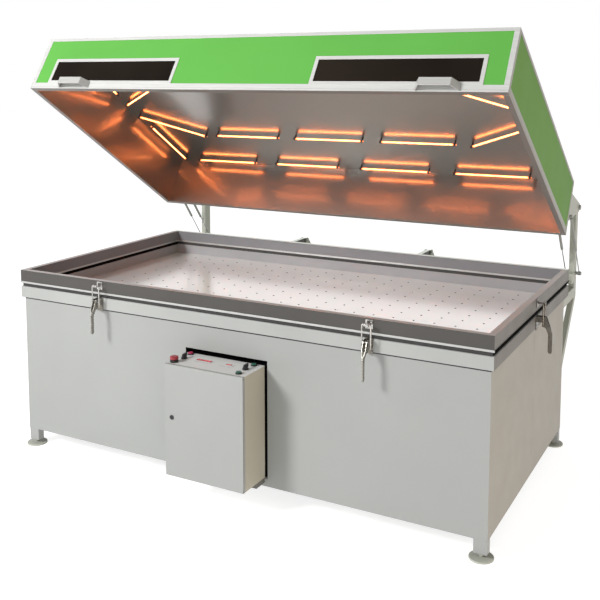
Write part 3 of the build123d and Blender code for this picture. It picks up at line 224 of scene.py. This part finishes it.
def drawn_metal(name, colour, roughness, along, fineness, metallic=1.0):
    """Metal with fine marks drawn along one axis."""
    finish = Finish(name, colour, roughness, metallic)
    stretch = [0.02 if axis == along else 1 for axis in "XYZ"]
    marks = finish.noise(fineness, detail=4, stretch=stretch, roughness=0.65)
    finish.tint(marks, shade(colour, 0.92), shade(colour, 1.08))
    finish.dull(marks, roughness - 0.05, roughness + 0.09)
    finish.bump(marks, strength=0.12, depth=0.0003)
    return finish.material


def plated(name, colour, roughness):
    """Zinc plating: small bright spangle and cloudy patches."""
    finish = Finish(name, colour, roughness, 1.0)
    finish.tint(finish.noise(38, detail=3), shade(colour, 0.84), shade(colour, 1.08))
    finish.dull(finish.noise(120, detail=4), roughness - 0.08, roughness + 0.14)
    finish.bump(finish.noise(260, detail=3), strength=0.12, depth=0.0003)
    return finish.material


def moulded(name, colour, roughness):
    """Moulded plastic or rubber with a fine grain."""
    finish = Finish(name, colour, roughness)
    finish.tint(finish.noise(26, detail=3), shade(colour, 0.88), shade(colour, 1.12))
    finish.dull(finish.noise(60, detail=3), roughness - 0.06, roughness + 0.08)
    finish.bump(finish.noise(1500, detail=2), strength=0.15, depth=0.0002)
    return finish.material


def polished_reflector():
    """Bright sheet aluminium: a soft, even mirror with a very fine rolling grain."""
    colour = (0.30, 0.285, 0.265)
    finish = Finish("rolled_aluminium", colour, 0.28, 1.0,
                    Coat_Weight=0.9, Coat_Roughness=0.14, Coat_IOR=1.6)
    grain = finish.noise(2600, detail=1, stretch=(0.1, 1, 1))
    finish.tint(grain, shade(colour, 0.96), shade(colour, 1.04), start=0, end=1)
    finish.dull(grain, 0.26, 0.30, start=0, end=1)
    return finish.material


def satin_steel(name, colour, roughness, metallic):
    """Ground sheet steel with an even sheen and faint clouding."""
    finish = Finish(name, colour, roughness, metallic)
    finish.tint(finish.noise(3, detail=1), shade(colour, 0.97), colour, start=0, end=1)
    finish.dull(finish.noise(5, detail=1), roughness - 0.02, roughness + 0.02, start=0, end=1)
    return finish.material


def tinted_glass():
    """Dark heat-resisting window glass."""
    finish = Finish("tinted_glass", (0.030, 0.020, 0.016), 0.08, 0.0, IOR=1.15)
    finish.tint(finish.noise(1.6, detail=2), (0.006, 0.004, 0.003), (0.020, 0.015, 0.011))
    finish.dull(finish.noise(9, detail=3), 0.05, 0.12)
    return finish.material


def lit_digit():
    """Red segments that glow a little."""
    finish = Finish("lit_segment", (0.9, 0.2, 0.2), 0.4)
    finish.glow(digit_glow, (1.0, 0.20, 0.22))
    finish.tint(finish.noise(80, detail=2), (0.8, 0.12, 0.12), (0.95, 0.2, 0.2))
    return finish.material


def hot_filament():
    """Glowing wire: orange, a little uneven along its length."""
    finish = Finish("hot_filament", (0.9, 0.35, 0.1), 0.4)
    finish.glow(filament_glow)
    heat = finish.blend(finish.noise(60, detail=2), (1.0, 0.22, 0.05), (1.0, 0.30, 0.09),
                        start=0.35, end=0.65)
    finish.join(heat, finish.shader.inputs["Emission Color"])
    return finish.material


def clear_quartz():
    """Thin clear tube: see-through, with highlights on its flanks and a warm bloom."""
    finish = Finish("clear_quartz", (0.98, 0.80, 0.62), 0.06, 0.0, IOR=1.45, Alpha=0.22)
    finish.glow(tube_glow, (1.0, 0.24, 0.055))
    finish.dull(finish.noise(90, detail=2), 0.04, 0.10)
    return finish.material


# Paints of the body and the cabinet
panel_paint = paint("panel_paint", panel_grey, 0.40, peel=0.08, variation=0.025)
# The side panels are painted in a darker, warmer copy of the panel grey, as painted shade
side_paint = paint("side_panel_painted_shade", (0.29, 0.27, 0.23), 0.40, peel=0.08, variation=0.025)
frame_paint = paint("frame_paint", (0.40, 0.41, 0.36), 0.45, variation=0.04)
spring_paint = paint("spring_paint", (0.27, 0.28, 0.26), 0.40, peel=0.06, variation=0.04)
# The cabinet shell's right side is painted lighter and warmer than its front, as painted light
lit_shell_side = paint("shell_side_painted_light", (0.44, 0.41, 0.33), peel=0.08, variation=0.025)
# The cabinet supports are painted dark, as the shade under the cabinet
support_painted_shade = paint("support_painted_shade", (0.15, 0.145, 0.13), 0.5)
# A dark band painted along the top of the body's panels, as the shade under the table
band_shade_paint = paint("top_band_painted_shade", (0.035, 0.036, 0.04), 0.5)
control_white = paint("control_plate_white", (0.55, 0.55, 0.54), 0.4, peel=0.03, variation=0.02)
# Black painted where there is only shade: inside the body and its cut-out, behind the cabinet, and at the
# ends of the clamp strip and gasket
body_inside = paint("body_inside_black", (0.004, 0.004, 0.004), 0.8, gloss=1.05)

# Paints of the frames, the bed's tray and the lid, and copies of them painted darker as shade or lighter
# as light
table_paint = paint("table_paint", table_grey, 0.40, peel=0.08)
# The table frame's ends and inner walls are painted in darker copies of its grey, as painted shade
table_side_paint = paint("table_side_paint", (0.14, 0.13, 0.115), peel=0.08, variation=0.03)
table_wall_painted_shade = paint("table_wall_painted_shade", (0.30, 0.30, 0.31), 0.40, peel=0.08)
film_paint = paint("film_frame_paint", film_grey, 0.36, peel=0.08, variation=0.06)
# The film frame's ends and inner walls are painted in lighter copies of its grey, as painted light
film_side_paint = paint("film_side_paint", (0.135, 0.125, 0.11), peel=0.08, variation=0.04)
film_wall_painted_light = paint("film_wall_painted_light", (0.19, 0.19, 0.20), 0.34, peel=0.08)
green_paint = paint("green_lid_paint", lid_green, 0.45, peel=0.06, variation=0.03, gloss=1.12)
# The lid's green ends are painted darker, as painted shade
green_side = paint("green_side_paint", (0.125, 0.265, 0.055), 0.5, peel=0.06, variation=0.03, gloss=1.15)
tray_black = paint("tray_black", (0.012, 0.012, 0.012), 0.7, gloss=1.1)
# Black painted on the bed's hole walls and rims, as the shade in the holes
hole_painted_shade = paint("hole_painted_shade", (0.016, 0.014, 0.013), 0.7, variation=0.1, gloss=1.1)

# Paints of the pump set
pump_blue = paint("pump_paint", (0.05, 0.12, 0.22), 0.4)
motor_grey = paint("motor_paint", (0.16, 0.18, 0.20), 0.45)

# Bare metals
# The lid rim's underside and right end are painted darker, as painted shade
rim_shade = drawn_metal("rim_shade", (0.16, 0.145, 0.13), 0.42, "X", 220, metallic=0.3)
rim_side = drawn_metal("rim_side", (0.30, 0.29, 0.26), 0.42, "Y", 220, metallic=0.3)
# The film frame's top is painted as pale metal, as painted light, and its back top nearly white, as a
# painted highlight
film_top_painted_light = drawn_metal("film_top_painted_light", (0.36, 0.34, 0.33), 0.40, "X", 200, metallic=0.0)
film_rear_painted_highlight = drawn_metal("film_rear_painted_highlight", (0.80, 0.80, 0.78), 0.40, "X", 200, metallic=0.0)
trim = drawn_metal("trim_aluminium", (0.56, 0.56, 0.545), 0.40, "X", 220, metallic=0.25)
handle_metal = drawn_metal("handle_aluminium", (0.44, 0.44, 0.425), 0.38, "X", 220, metallic=0.25)
bright_strip = drawn_metal("bright_strip", (0.44, 0.44, 0.43), 0.32, "X", 260, metallic=0.5)
rod_steel = drawn_metal("rod_steel", (0.35, 0.35, 0.36), 0.2, "X", 200)
bed_steel = satin_steel("bed_steel", (1.0, 0.985, 0.97), 0.20, metallic=0.60)
zinc = plated("bright_zinc", (0.50, 0.49, 0.47), 0.22)
# A darker copy of the zinc, painted on the side latches and the bases' fronts as shade
zinc_painted_shade = plated("zinc_painted_shade", (0.20, 0.185, 0.16), 0.30)
front_zinc = plated("front_lever_zinc", (0.38, 0.365, 0.33), 0.26)
dull_zinc = plated("dull_zinc", (0.36, 0.35, 0.335), 0.36)
reflector = polished_reflector()

# Plastics, rubber, glass, lamps and ink
rubber = moulded("gasket_rubber", (0.028, 0.027, 0.026), 0.6)
black_plastic = moulded("black_plastic", (0.015, 0.015, 0.016), 0.4)
red_plastic = moulded("red_plastic", (0.28, 0.018, 0.025), 0.34)
pink_red = moulded("pink_red_plastic", (0.42, 0.03, 0.09), 0.28)
green_plastic = moulded("green_plastic", (0.010, 0.085, 0.055), 0.28)
gear_plastic = moulded("gear_plastic", (0.55, 0.56, 0.54), 0.5)
ceramic = moulded("dark_ceramic", (0.03, 0.026, 0.024), 0.55)
display_red = moulded("display_red", (0.30, 0.008, 0.02), 0.25)
rule_ink = moulded("rule_ink", (0.09, 0.09, 0.09), 0.5)
glass = tinted_glass()
quartz = clear_quartz()
filament = hot_filament()
lit_red = lit_digit()

finishes = {
    "legs": panel_paint, "lower_rails": frame_paint, "leveling_feet": frame_paint,
    "front_panel": panel_paint, "side_panels": side_paint, "rear_panel": panel_paint,
    "mains_gland": black_plastic, "table_frame": table_paint, "vacuum_tray": tray_black,
    "perforated_plate": bed_steel, "table_gasket": rubber, "film_clamp_strip": bright_strip,
    "film_frame": film_paint, "rear_beam": frame_paint, "rear_stands": frame_paint,
    "pivot_pins": dull_zinc, "latch_bases": zinc, "latch_keepers": zinc, "cabinet_shell": panel_paint,
    "control_panel": control_white, "displays": display_red, "cabinet_supports": support_painted_shade,
    "switchgear": gear_plastic, "control_bezels": black_plastic, "pump_shelf": frame_paint,
    "vacuum_pump": pump_blue, "pump_motor": motor_grey, "vacuum_filter": trim,
    "solenoid_valve": dull_zinc, "vacuum_pipe": dull_zinc, "lid_frame": trim,
    "lid_panels": green_paint, "window_frames": trim, "window_glass": glass,
    "lid_handles": handle_metal, "lid_reflectors": reflector, "lamp_tubes": quartz,
    "lamp_holders": ceramic, "lid_brackets": frame_paint, "spring_rods_left": rod_steel,
    "spring_rods_right": rod_steel, "spring_tubes_left": spring_paint,
    "spring_tubes_right": spring_paint, "cabinet_door": panel_paint, "door_lock": black_plastic,
    "estop_cap": red_plastic, "red_button": pink_red, "green_button_front": green_plastic,
    "green_button_rear": green_plastic, "selector_left": black_plastic,
    "selector_right": black_plastic, "pump_rotor": rod_steel,
}
# The side latches' levers and bails get the darker zinc, as painted shade
for place in latch_places:
    finishes[f"latch_lever_{place}"] = zinc_painted_shade if place.startswith("side") else front_zinc
    finishes[f"latch_bail_{place}"] = zinc_painted_shade if place.startswith("side") else zinc

body_of_node = {}
for body, members in frame["record"]["behaviour"]["bodies"].items():
    for node in members:
        body_of_node[node] = body

for node, material in finishes.items():
    shown = frame["nodes"][node]
    shown.data.materials.clear()
    shown.data.materials.append(material)


# Pieces made from the nodes
def new_piece(name, mesh, material, body):
    """A finished mesh becomes a piece that moves with a body."""
    piece = bpy.data.objects.new(name, mesh)
    bpy.context.scene.collection.objects.link(piece)
    piece.data.materials.clear()
    piece.data.materials.append(material)
    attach(piece, body)
    return piece


def merged_copy(node):
    """A copy of a node with its doubled corners merged and its flat faces whole."""
    shape = bmesh.new()
    shape.from_mesh(frame["nodes"][node].data)
    bmesh.ops.remove_doubles(shape, verts=shape.verts, dist=merge_gap)
    bmesh.ops.dissolve_limit(shape, angle_limit=flat_angle, verts=shape.verts, edges=shape.edges)
    mesh = bpy.data.meshes.new(f"{node}_rounded")
    shape.to_mesh(mesh)
    shape.free()
    return new_piece(f"{node}_rounded", mesh, finishes[node], body_of_node[node])


def plain(node, cuts=()):
    """A copy of a node with square edges, its faces cut along planes, shown in the node's place."""
    piece = merged_copy(node)
    for point, direction in cuts:
        shape = bmesh.new()
        shape.from_mesh(piece.data)
        everything = shape.verts[:] + shape.edges[:] + shape.faces[:]
        bmesh.ops.bisect_plane(shape, geom=everything, dist=cut_gap, plane_co=point, plane_no=direction)
        shape.to_mesh(piece.data)
        shape.free()
    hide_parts(node)
    return piece


def softened(node, width):
    """A copy of a node with its sharp edges rounded, shown in the node's place."""
    piece = merged_copy(node)
    for polygon in piece.data.polygons:
        polygon.use_smooth = True
    piece.data.set_sharp_from_angle(angle=crease_angle)
    edge = piece.modifiers.new("edge", "BEVEL")
    edge.width = width
    edge.segments = 2
    edge.limit_method = "ANGLE"
    edge.angle_limit = round_angle
    edge.use_clamp_overlap = True
    edge.harden_normals = True
    graph = bpy.context.evaluated_depsgraph_get()
    done = bpy.data.meshes.new_from_object(piece.evaluated_get(graph))
    piece.modifiers.clear()
    piece.data = done
    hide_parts(node)
    return piece


def repainted(piece, material, chosen):
    """The faces that lie as asked get a material of their own."""
    piece.data.materials.append(material)
    slot = len(piece.data.materials) - 1
    for polygon in piece.data.polygons:
        if chosen(polygon.normal, polygon.center):
            polygon.material_index = slot


def outer_end(normal, middle):
    return abs(normal.x) > facing and abs(middle.x) > half_length - skin


def inner_wall(normal, middle):
    outside = abs(middle.x) > half_length - skin or middle.y < front + skin or middle.y > rear - skin
    return abs(normal.z) < leaning and not outside


# How far the edges of these nodes are rounded
edge_widths = {
    "rear_stands": 0.002, "rear_beam": 0.002, "legs": 0.002, "window_frames": 0.0006,
    "lid_handles": 0.0012, "lid_brackets": 0.001,
}
for place in latch_places:
    edge_widths[f"latch_lever_{place}"] = 0.0006
for node, width in edge_widths.items():
    softened(node, width)

# Latch fittings on the sides of the machine, and the bases on their front, are painted a darker zinc, as
# painted shade
keepers = softened("latch_keepers", 0.0006)
repainted(keepers, zinc_painted_shade, lambda normal, middle: abs(middle.x) > side_fittings)
bases = softened("latch_bases", 0.0006)
repainted(bases, zinc_painted_shade, lambda normal, middle: abs(middle.x) > side_fittings)
repainted(bases, zinc_painted_shade,
          lambda normal, middle: normal.y < -facing and middle.y < front - fitting_face)

# The lid's ends, the underside of its rim and the rim's right end are painted darker, as painted shade
rim_down = open_turn @ Vector((0, 0, -1))
rim = softened("lid_frame", 0.0012)
repainted(rim, rim_shade, lambda normal, middle: normal.dot(rim_down) > facing)
repainted(rim, rim_side, lambda normal, middle: normal.x > facing)
lid_sheets = plain("lid_panels")
repainted(lid_sheets, green_side, lambda normal, middle: abs(normal.x) > facing)

# The table frame's ends and inner walls are painted darker, as painted shade; the film frame's ends and
# inner walls are painted lighter and its top paler, as painted light, palest at the back as a painted
# highlight
table = softened("table_frame", 0.0025)
repainted(table, table_side_paint, outer_end)
repainted(table, table_wall_painted_shade, inner_wall)
film = softened("film_frame", 0.0025)
repainted(film, film_side_paint, outer_end)
repainted(film, film_wall_painted_light, inner_wall)
repainted(film, film_top_painted_light, lambda normal, middle: normal.z > facing)
repainted(film, film_rear_painted_highlight, lambda normal, middle: normal.z > facing and middle.y > rear - rear_bar)
# The bed's hole walls are painted black, as painted shade
bed = plain("perforated_plate")
repainted(bed, hole_painted_shade, lambda normal, middle: abs(normal.z) < leaning)
# The ends of the clamp strip and the gasket are painted black, as painted shade
clamp_strip = softened("film_clamp_strip", 0.0008)
repainted(clamp_strip, body_inside, outer_end)
gasket = plain("table_gasket")
repainted(gasket, body_inside, lambda normal, middle: abs(normal.x) > facing)

# The body is painted black inside and in its cut-out, and behind the front where the cabinet and control
# plate reach, and dark along its top edge, as painted shade; the cabinet shell is painted lighter on its
# right side and pale on its front faces, as painted light
behind_front = ((0, body_front, 0), (0, 1, 0))
shell = plain("cabinet_shell", cuts=(behind_front,))
repainted(shell, lit_shell_side, lambda normal, middle: normal.x > facing)
# The shell's front faces are painted pale so that the seam round the door looks lighter, as painted light
repainted(shell, control_white, lambda normal, middle: normal.y < -facing)
repainted(shell, body_inside, lambda normal, middle: middle.y > body_front)
control_plate = plain("control_panel", cuts=(behind_front,))
repainted(control_plate, body_inside, lambda normal, middle: middle.y > body_front)


def back_or_cutout(normal, middle):
    """The back of the front panel, and the edges of its cut-out."""
    return normal.y > leaning or abs(middle.x) < cutout_half and abs(normal.y) < leaning


# The panels' top edges are cut off here, to be painted dark as shade
top_shade_cut = ((0, 0, body_top - top_shade_band), (0, 0, 1))
front_sheet = plain("front_panel", cuts=(top_shade_cut,))
repainted(front_sheet, band_shade_paint, lambda normal, middle: middle.z > body_top - top_shade_band)
repainted(front_sheet, body_inside, back_or_cutout)
side_sheets = plain("side_panels", cuts=(top_shade_cut,))
repainted(side_sheets, band_shade_paint, lambda normal, middle: middle.z > body_top - top_shade_band)
repainted(side_sheets, body_inside, lambda normal, middle: normal.x * middle.x < -leaning)
softened("cabinet_door", 0.0006)
rear_sheet = plain("rear_panel")
repainted(rear_sheet, body_inside, lambda normal, middle: normal.y < -leaning)


# What repeats is made by node trees
class Tree:
    """A geometry tree with named sizes, run once on a mesh of places and then made plain."""

    def __init__(self, name, **sizes):
        self.group = bpy.data.node_groups.new(name, "GeometryNodeTree")
        sockets = self.group.interface
        sockets.new_socket("Places", in_out="INPUT", socket_type="NodeSocketGeometry")
        sockets.new_socket("Pieces", in_out="OUTPUT", socket_type="NodeSocketGeometry")
        self.keys = {}
        self.sizes = sizes
        for label, value in sizes.items():
            socket = sockets.new_socket(label, in_out="INPUT", socket_type="NodeSocketFloat")
            socket.default_value = value
            self.keys[label] = socket.identifier
        self.start = self.group.nodes.new("NodeGroupInput")
        self.end = self.group.nodes.new("NodeGroupOutput")

    def node(self, kind, inputs=None, **settings):
        made = self.group.nodes.new(kind)
        for key, value in settings.items():
            setattr(made, key, value)
        for socket, value in (inputs or {}).items():
            if isinstance(value, bpy.types.NodeSocket):
                self.group.links.new(value, made.inputs[socket])
            else:
                made.inputs[socket].default_value = value
        return made

    def size(self, label):
        return self.start.outputs[label]

    def ring(self, resolution, label):
        """A circle with so many corners, whose radius is a named size."""
        circle = self.node("GeometryNodeCurvePrimitiveCircle",
                           {"Resolution": resolution, "Radius": self.size(label)})
        return circle.outputs["Curve"]

    def drawn_along(self, path, outline, capped):
        """A mesh drawn along a path with an outline."""
        drawn = self.node("GeometryNodeCurveToMesh",
                          {"Curve": path, "Profile Curve": outline, "Fill Caps": capped})
        return drawn.outputs["Mesh"]

    def spread_over_places(self, shape, material):
        """One shape on every place, turned so that its Z follows the place's own direction."""
        along = self.node("GeometryNodeInputNamedAttribute", {"Name": "along"}, data_type="FLOAT_VECTOR")
        turn = self.node("FunctionNodeAlignRotationToVector",
                         {"Vector": along.outputs["Attribute"]}, axis="Z")
        spread = self.node("GeometryNodeInstanceOnPoints", {
            "Points": self.start.outputs["Places"],
            "Instance": shape,
            "Rotation": turn.outputs["Rotation"],
        })
        real = self.node("GeometryNodeRealizeInstances", {"Geometry": spread.outputs["Instances"]})
        painted = self.node("GeometryNodeSetMaterial",
                            {"Geometry": real.outputs["Geometry"], "Material": material})
        self.group.links.new(painted.outputs["Geometry"], self.end.inputs["Pieces"])

    def run(self, name, places, material, body):
        """places is a list of (point, direction)."""
        mesh = bpy.data.meshes.new(name)
        mesh.from_pydata([tuple(point) for point, along in places], [], [])
        directions = mesh.attributes.new("along", "FLOAT_VECTOR", "POINT")
        for index, (point, along) in enumerate(places):
            directions.data[index].vector = along
        piece = bpy.data.objects.new(name, mesh)
        bpy.context.scene.collection.objects.link(piece)
        modifier = piece.modifiers.new("tree", "NODES")
        modifier.node_group = self.group
        for label, key in self.keys.items():
            modifier[key] = self.sizes[label]
        graph = bpy.context.evaluated_depsgraph_get()
        done = bpy.data.meshes.new_from_object(piece.evaluated_get(graph))
        bpy.data.objects.remove(piece)
        for polygon in done.polygons:
            polygon.use_smooth = True
        done.set_sharp_from_angle(angle=tree_crease_angle)
        return new_piece(name, done, material, body)


# Lamps: a coiled filament in a clear tube, each line a start and a direction on the shut lid
lamp_lines = []
for half in (-1, 1):
    for place in (-1, 0, 1):
        x = place * inner_pitch
        lamp_lines.append(((x - lamp_length / 2, lamp_middle + half * inner_row), (1, 0)))
    for place in range(4):
        x = (place - 1.5) * outer_pitch
        lamp_lines.append(((x - lamp_length / 2, lamp_middle + half * outer_row), (1, 0)))
    for side in (-1, 1):
        end_x, end_y = end_lamp
        lamp_lines.append(((side * end_x, lamp_middle + half * end_y - lamp_length / 2), (0, 1)))
        near = Vector((side * slant_near[0], lamp_middle + half * slant_near[1]))
        far = Vector((side * slant_far[0], lamp_middle + half * slant_far[1]))
        lamp_lines.append((tuple(near), tuple((far - near).normalized())))

lamp_places = [
    (swung((*start, lamp_height)), open_turn @ Vector((*run, 0))) for start, run in lamp_lines
]

coils = Tree("lamp_coils", Cold_end=lamp_cold_end, Coil_radius=0.0021, Wire_radius=0.0009, Turns=70.0,
             Heated_length=lamp_length - 2 * lamp_cold_end)
spiral = coils.node("GeometryNodeCurveSpiral", {
    "Resolution": 9,
    "Rotations": coils.size("Turns"),
    "Start Radius": coils.size("Coil_radius"),
    "End Radius": coils.size("Coil_radius"),
    "Height": coils.size("Heated_length"),
})
wound = coils.drawn_along(spiral.outputs["Curve"], coils.ring(5, "Wire_radius"), True)
lift = coils.node("ShaderNodeCombineXYZ", {"Z": coils.size("Cold_end")})
raised = coils.node("GeometryNodeTransform", {"Geometry": wound, "Translation": lift.outputs["Vector"]})
coils.spread_over_places(raised.outputs["Geometry"], filament)
coils.run("lamp_filaments", lamp_places, filament, "lid")

tubes = Tree("lamp_glass", Length=lamp_length, Radius=lamp_radius)
axis = tubes.node("ShaderNodeCombineXYZ", {"Z": tubes.size("Length")})
line = tubes.node("GeometryNodeCurvePrimitiveLine", {"End": axis.outputs["Vector"]})
drawn = tubes.drawn_along(line.outputs["Curve"], tubes.ring(20, "Radius"), True)
tubes.spread_over_places(drawn, quartz)
quartz_tubes = tubes.run("lamp_quartz", lamp_places, quartz, "lid")
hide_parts("lamp_tubes")

# Punched holes have a rolled edge, painted black with the hole walls as the shade in the holes
plate_low, plate_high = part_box("perforated_plate")
hole_places = []
for column in range(hole_columns):
    for row in range(hole_rows):
        x = (column - (hole_columns - 1) / 2) * hole_pitch
        y = (plate_low[1] + plate_high[1]) / 2 + (row - (hole_rows - 1) / 2) * hole_pitch
        hole_places.append(((x, y, plate_high[2]), (0, 0, 1)))

rims = Tree("hole_rims", Rim_radius=0.0045, Roll=0.0007)
rolled = rims.drawn_along(rims.ring(16, "Rim_radius"), rims.ring(6, "Roll"), False)
rims.spread_over_places(rolled, hole_painted_shade)
rims.run("plate_hole_rims", hole_places, hole_painted_shade, body_of_node["perforated_plate"])

# Screws hold the latch bases, in two rows below the lever's pivot, and the keepers, in one
screw_sides = (-0.0145, 0.0145)
base_screw_depths = (0.052, 0.038)
keeper_low, keeper_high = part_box("latch_keepers")
keeper_screw_height = (keeper_low[2] + keeper_high[2]) / 2 + 0.002
base_screws = [(x, latch_height - depth) for x in screw_sides for depth in base_screw_depths]
keeper_screws = [(x, keeper_screw_height) for x in screw_sides]


def screw_places(spots):
    """The screws of one fitting, repeated at the two front latches and the two side latches."""
    places = []
    for along, height in spots:
        for middle in (-front_latch, front_latch):
            places.append(((middle + along, front - fitting_plate, height), (0, -1, 0)))
        for side in (-1, 1):
            place = (side * (half_length + fitting_plate), side_latch + along, height)
            places.append((place, (side, 0, 0)))
    return places


def screw_tree(name, radius):
    """Round heads with sloping sides."""
    screws = Tree(name, Head_radius=radius, Crown_radius=radius * 0.55, Head_height=radius * 0.6)
    head = screws.node("GeometryNodeMeshCone", {
        "Vertices": 14,
        "Radius Top": screws.size("Crown_radius"),
        "Radius Bottom": screws.size("Head_radius"),
        "Depth": screws.size("Head_height"),
    })
    screws.spread_over_places(head.outputs["Mesh"], dull_zinc)
    return screws


screw_tree("base_screws", radius=0.0036).run(
    "latch_base_screws", screw_places(base_screws), dull_zinc, body_of_node["latch_bases"])
screw_tree("keeper_screws", radius=0.0026).run(
    "latch_keeper_screws", screw_places(keeper_screws), dull_zinc, body_of_node["latch_keepers"])

# Printed rules and lit digits on the control plate
bar_thickness = 0.0004


def flat_bars(name, bars, height, material, body):
    """Thin flat bars, each (left, right, near, far), with their tops at a height."""
    shape = bmesh.new()
    for left, right, near, far in bars:
        made = bmesh.ops.create_cube(shape, size=1)["verts"]
        size = Vector((right - left, far - near, bar_thickness))
        middle = Vector(((left + right) / 2, (near + far) / 2, height - size.z / 2))
        for vertex in made:
            vertex.co = Vector(a * b for a, b in zip(vertex.co, size)) + middle
    mesh = bpy.data.meshes.new(name)
    shape.to_mesh(mesh)
    shape.free()
    return new_piece(name, mesh, material, body)


# Rules that run back, each (left, near, far), and rules that run across, each (left, right)
rule_width = 0.0014
rule_proud = 0.0004
rules_back = ((-0.024, -0.080, -0.044), (0.092, -0.076, -0.046),
              (-0.150, -0.092, -0.062), (0.188, -0.092, -0.062))
rules_across = ((-0.114, -0.031), (0.030, 0.092))
across_near, across_far = -0.084, -0.0832
rules = [(x, x + rule_width, front + near, front + far) for x, near, far in rules_back]
rules += [(left, right, front + across_near, front + across_far) for left, right in rules_across]
flat_bars("control_plate_rules", rules, cabinet_top + rule_proud, rule_ink, body_of_node["control_panel"])

segments_of = {"0": "abcdef", "1": "bc", "2": "abdeg", "5": "acdfg"}


def digit_bars(text, left, near, width, height, gap, stroke):
    """The bars of seven-segment digits, from left to right."""
    bars = []
    half = height / 2
    spans = {
        "a": (0, width, height - stroke, height),
        "b": (width - stroke, width, half, height),
        "c": (width - stroke, width, 0, half),
        "d": (0, width, 0, stroke),
        "e": (0, stroke, 0, half),
        "f": (0, stroke, half, height),
        "g": (0, width, half - stroke / 2, half + stroke / 2),
    }
    for index, digit in enumerate(text):
        x = left + index * (width + gap)
        for segment in segments_of[digit]:
            start, end, low, high = spans[segment]
            bars.append((x + start, x + end, near + low, near + high))
    return bars


digits = digit_bars("0120", left=-0.105, near=front - 0.0615,
                    width=0.010, height=0.012, gap=0.008, stroke=0.0018)
digits += digit_bars("05", left=0.054, near=front - 0.0555,
                     width=0.006, height=0.007, gap=0.005, stroke=0.0012)
digit_proud = 0.0003
display_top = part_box("displays")[1][2]
flat_bars("display_digits", digits, display_top + digit_proud, lit_red, body_of_node["displays"])

# Stage: a pale floor that glows a little, so that it stays near white
floor_size = 60
ground = bmesh.new()
bmesh.ops.create_grid(ground, x_segments=1, y_segments=1, size=floor_size / 2)
floor_mesh = bpy.data.meshes.new("floor")
ground.to_mesh(floor_mesh)
ground.free()
floor = bpy.data.objects.new("floor", floor_mesh)
bpy.context.scene.collection.objects.link(floor)
floor_paint = Finish("floor_white", (0.45, 0.45, 0.45), 0.9)
floor_paint.glow(floor_glow, (1, 1, 1))
floor_mesh.materials.append(floor_paint.material)

# The room is white low down at the back, dimmer overhead and at the front, and warmer on the right
bpy.context.scene.view_settings.view_transform = "Standard"
world = bpy.data.worlds.new("studio")
bpy.context.scene.world = world
world.use_nodes = True
sky = world.node_tree.nodes["Background"]
sky.inputs["Strength"].default_value = 1.0
direction = world.node_tree.nodes.new("ShaderNodeTexCoord")
axes = world.node_tree.nodes.new("ShaderNodeSeparateXYZ")
world.node_tree.links.new(direction.outputs["Generated"], axes.inputs["Vector"])


def room_blend(axis, start, end, first, second):
    """The room's colour goes from the first to the second along one axis."""
    rise = world.node_tree.nodes.new("ShaderNodeMapRange")
    rise.interpolation_type = "SMOOTHSTEP"
    rise.inputs["From Min"].default_value = start
    rise.inputs["From Max"].default_value = end
    mix = world.node_tree.nodes.new("ShaderNodeMix")
    mix.data_type = "RGBA"
    for socket, colour in ((6, first), (7, second)):
        if isinstance(colour, bpy.types.NodeSocket):
            world.node_tree.links.new(colour, mix.inputs[socket])
        else:
            mix.inputs[socket].default_value = (*colour, 1)
    world.node_tree.links.new(axes.outputs[axis], rise.inputs["Value"])
    world.node_tree.links.new(rise.outputs["Result"], mix.inputs[0])
    return mix.outputs[2]


overhead = room_blend("Z", start=0.30, end=0.75, first=(1, 1, 1), second=(0.55, 0.55, 0.55))
front_room = room_blend("Y", start=-0.15, end=0.35, first=(0.42, 0.42, 0.415), second=overhead)
room = room_blend("X", start=0.15, end=0.90, first=front_room, second=(0.50, 0.46, 0.41))
world.node_tree.links.new(room, sky.inputs["Color"])


def soft_light(name, place, target, size, power, colour=(1, 1, 1)):
    """A round soft light at a place, turned to a target."""
    lamp = bpy.data.lights.new(name, "AREA")
    lamp.shape = "DISK"
    lamp.size = size
    lamp.energy = power
    lamp.color = colour
    stand = bpy.data.objects.new(name, lamp)
    bpy.context.scene.collection.objects.link(stand)
    stand.location = place
    stand.rotation_mode = "QUATERNION"
    stand.rotation_quaternion = (Vector(target) - Vector(place)).to_track_quat("-Z", "Y")


soft_light("key", place=(-3.5, -6.0, 4.5), target=(0, 0, 0.8), size=1.8, power=520)
soft_light("warm_side", place=(3.6, -0.8, 0.10), target=(1.3, -0.3, 0.2), size=1.2, power=24,
           colour=(1.0, 0.80, 0.64))
soft_light("front_fill", place=(1.0, -7.0, 2.0), target=(0, 0, 0.8), size=4.0, power=45)

camera = bpy.data.cameras.new("camera")
camera.lens = camera_lens
camera.sensor_width = camera_sensor
camera.shift_y = camera_shift
tripod = bpy.data.objects.new("camera", camera)
bpy.context.scene.collection.objects.link(tripod)
tripod.location = camera_place
tripod.rotation_euler = (math.radians(camera_pitch), 0, math.radians(camera_yaw))
bpy.context.scene.camera = tripod
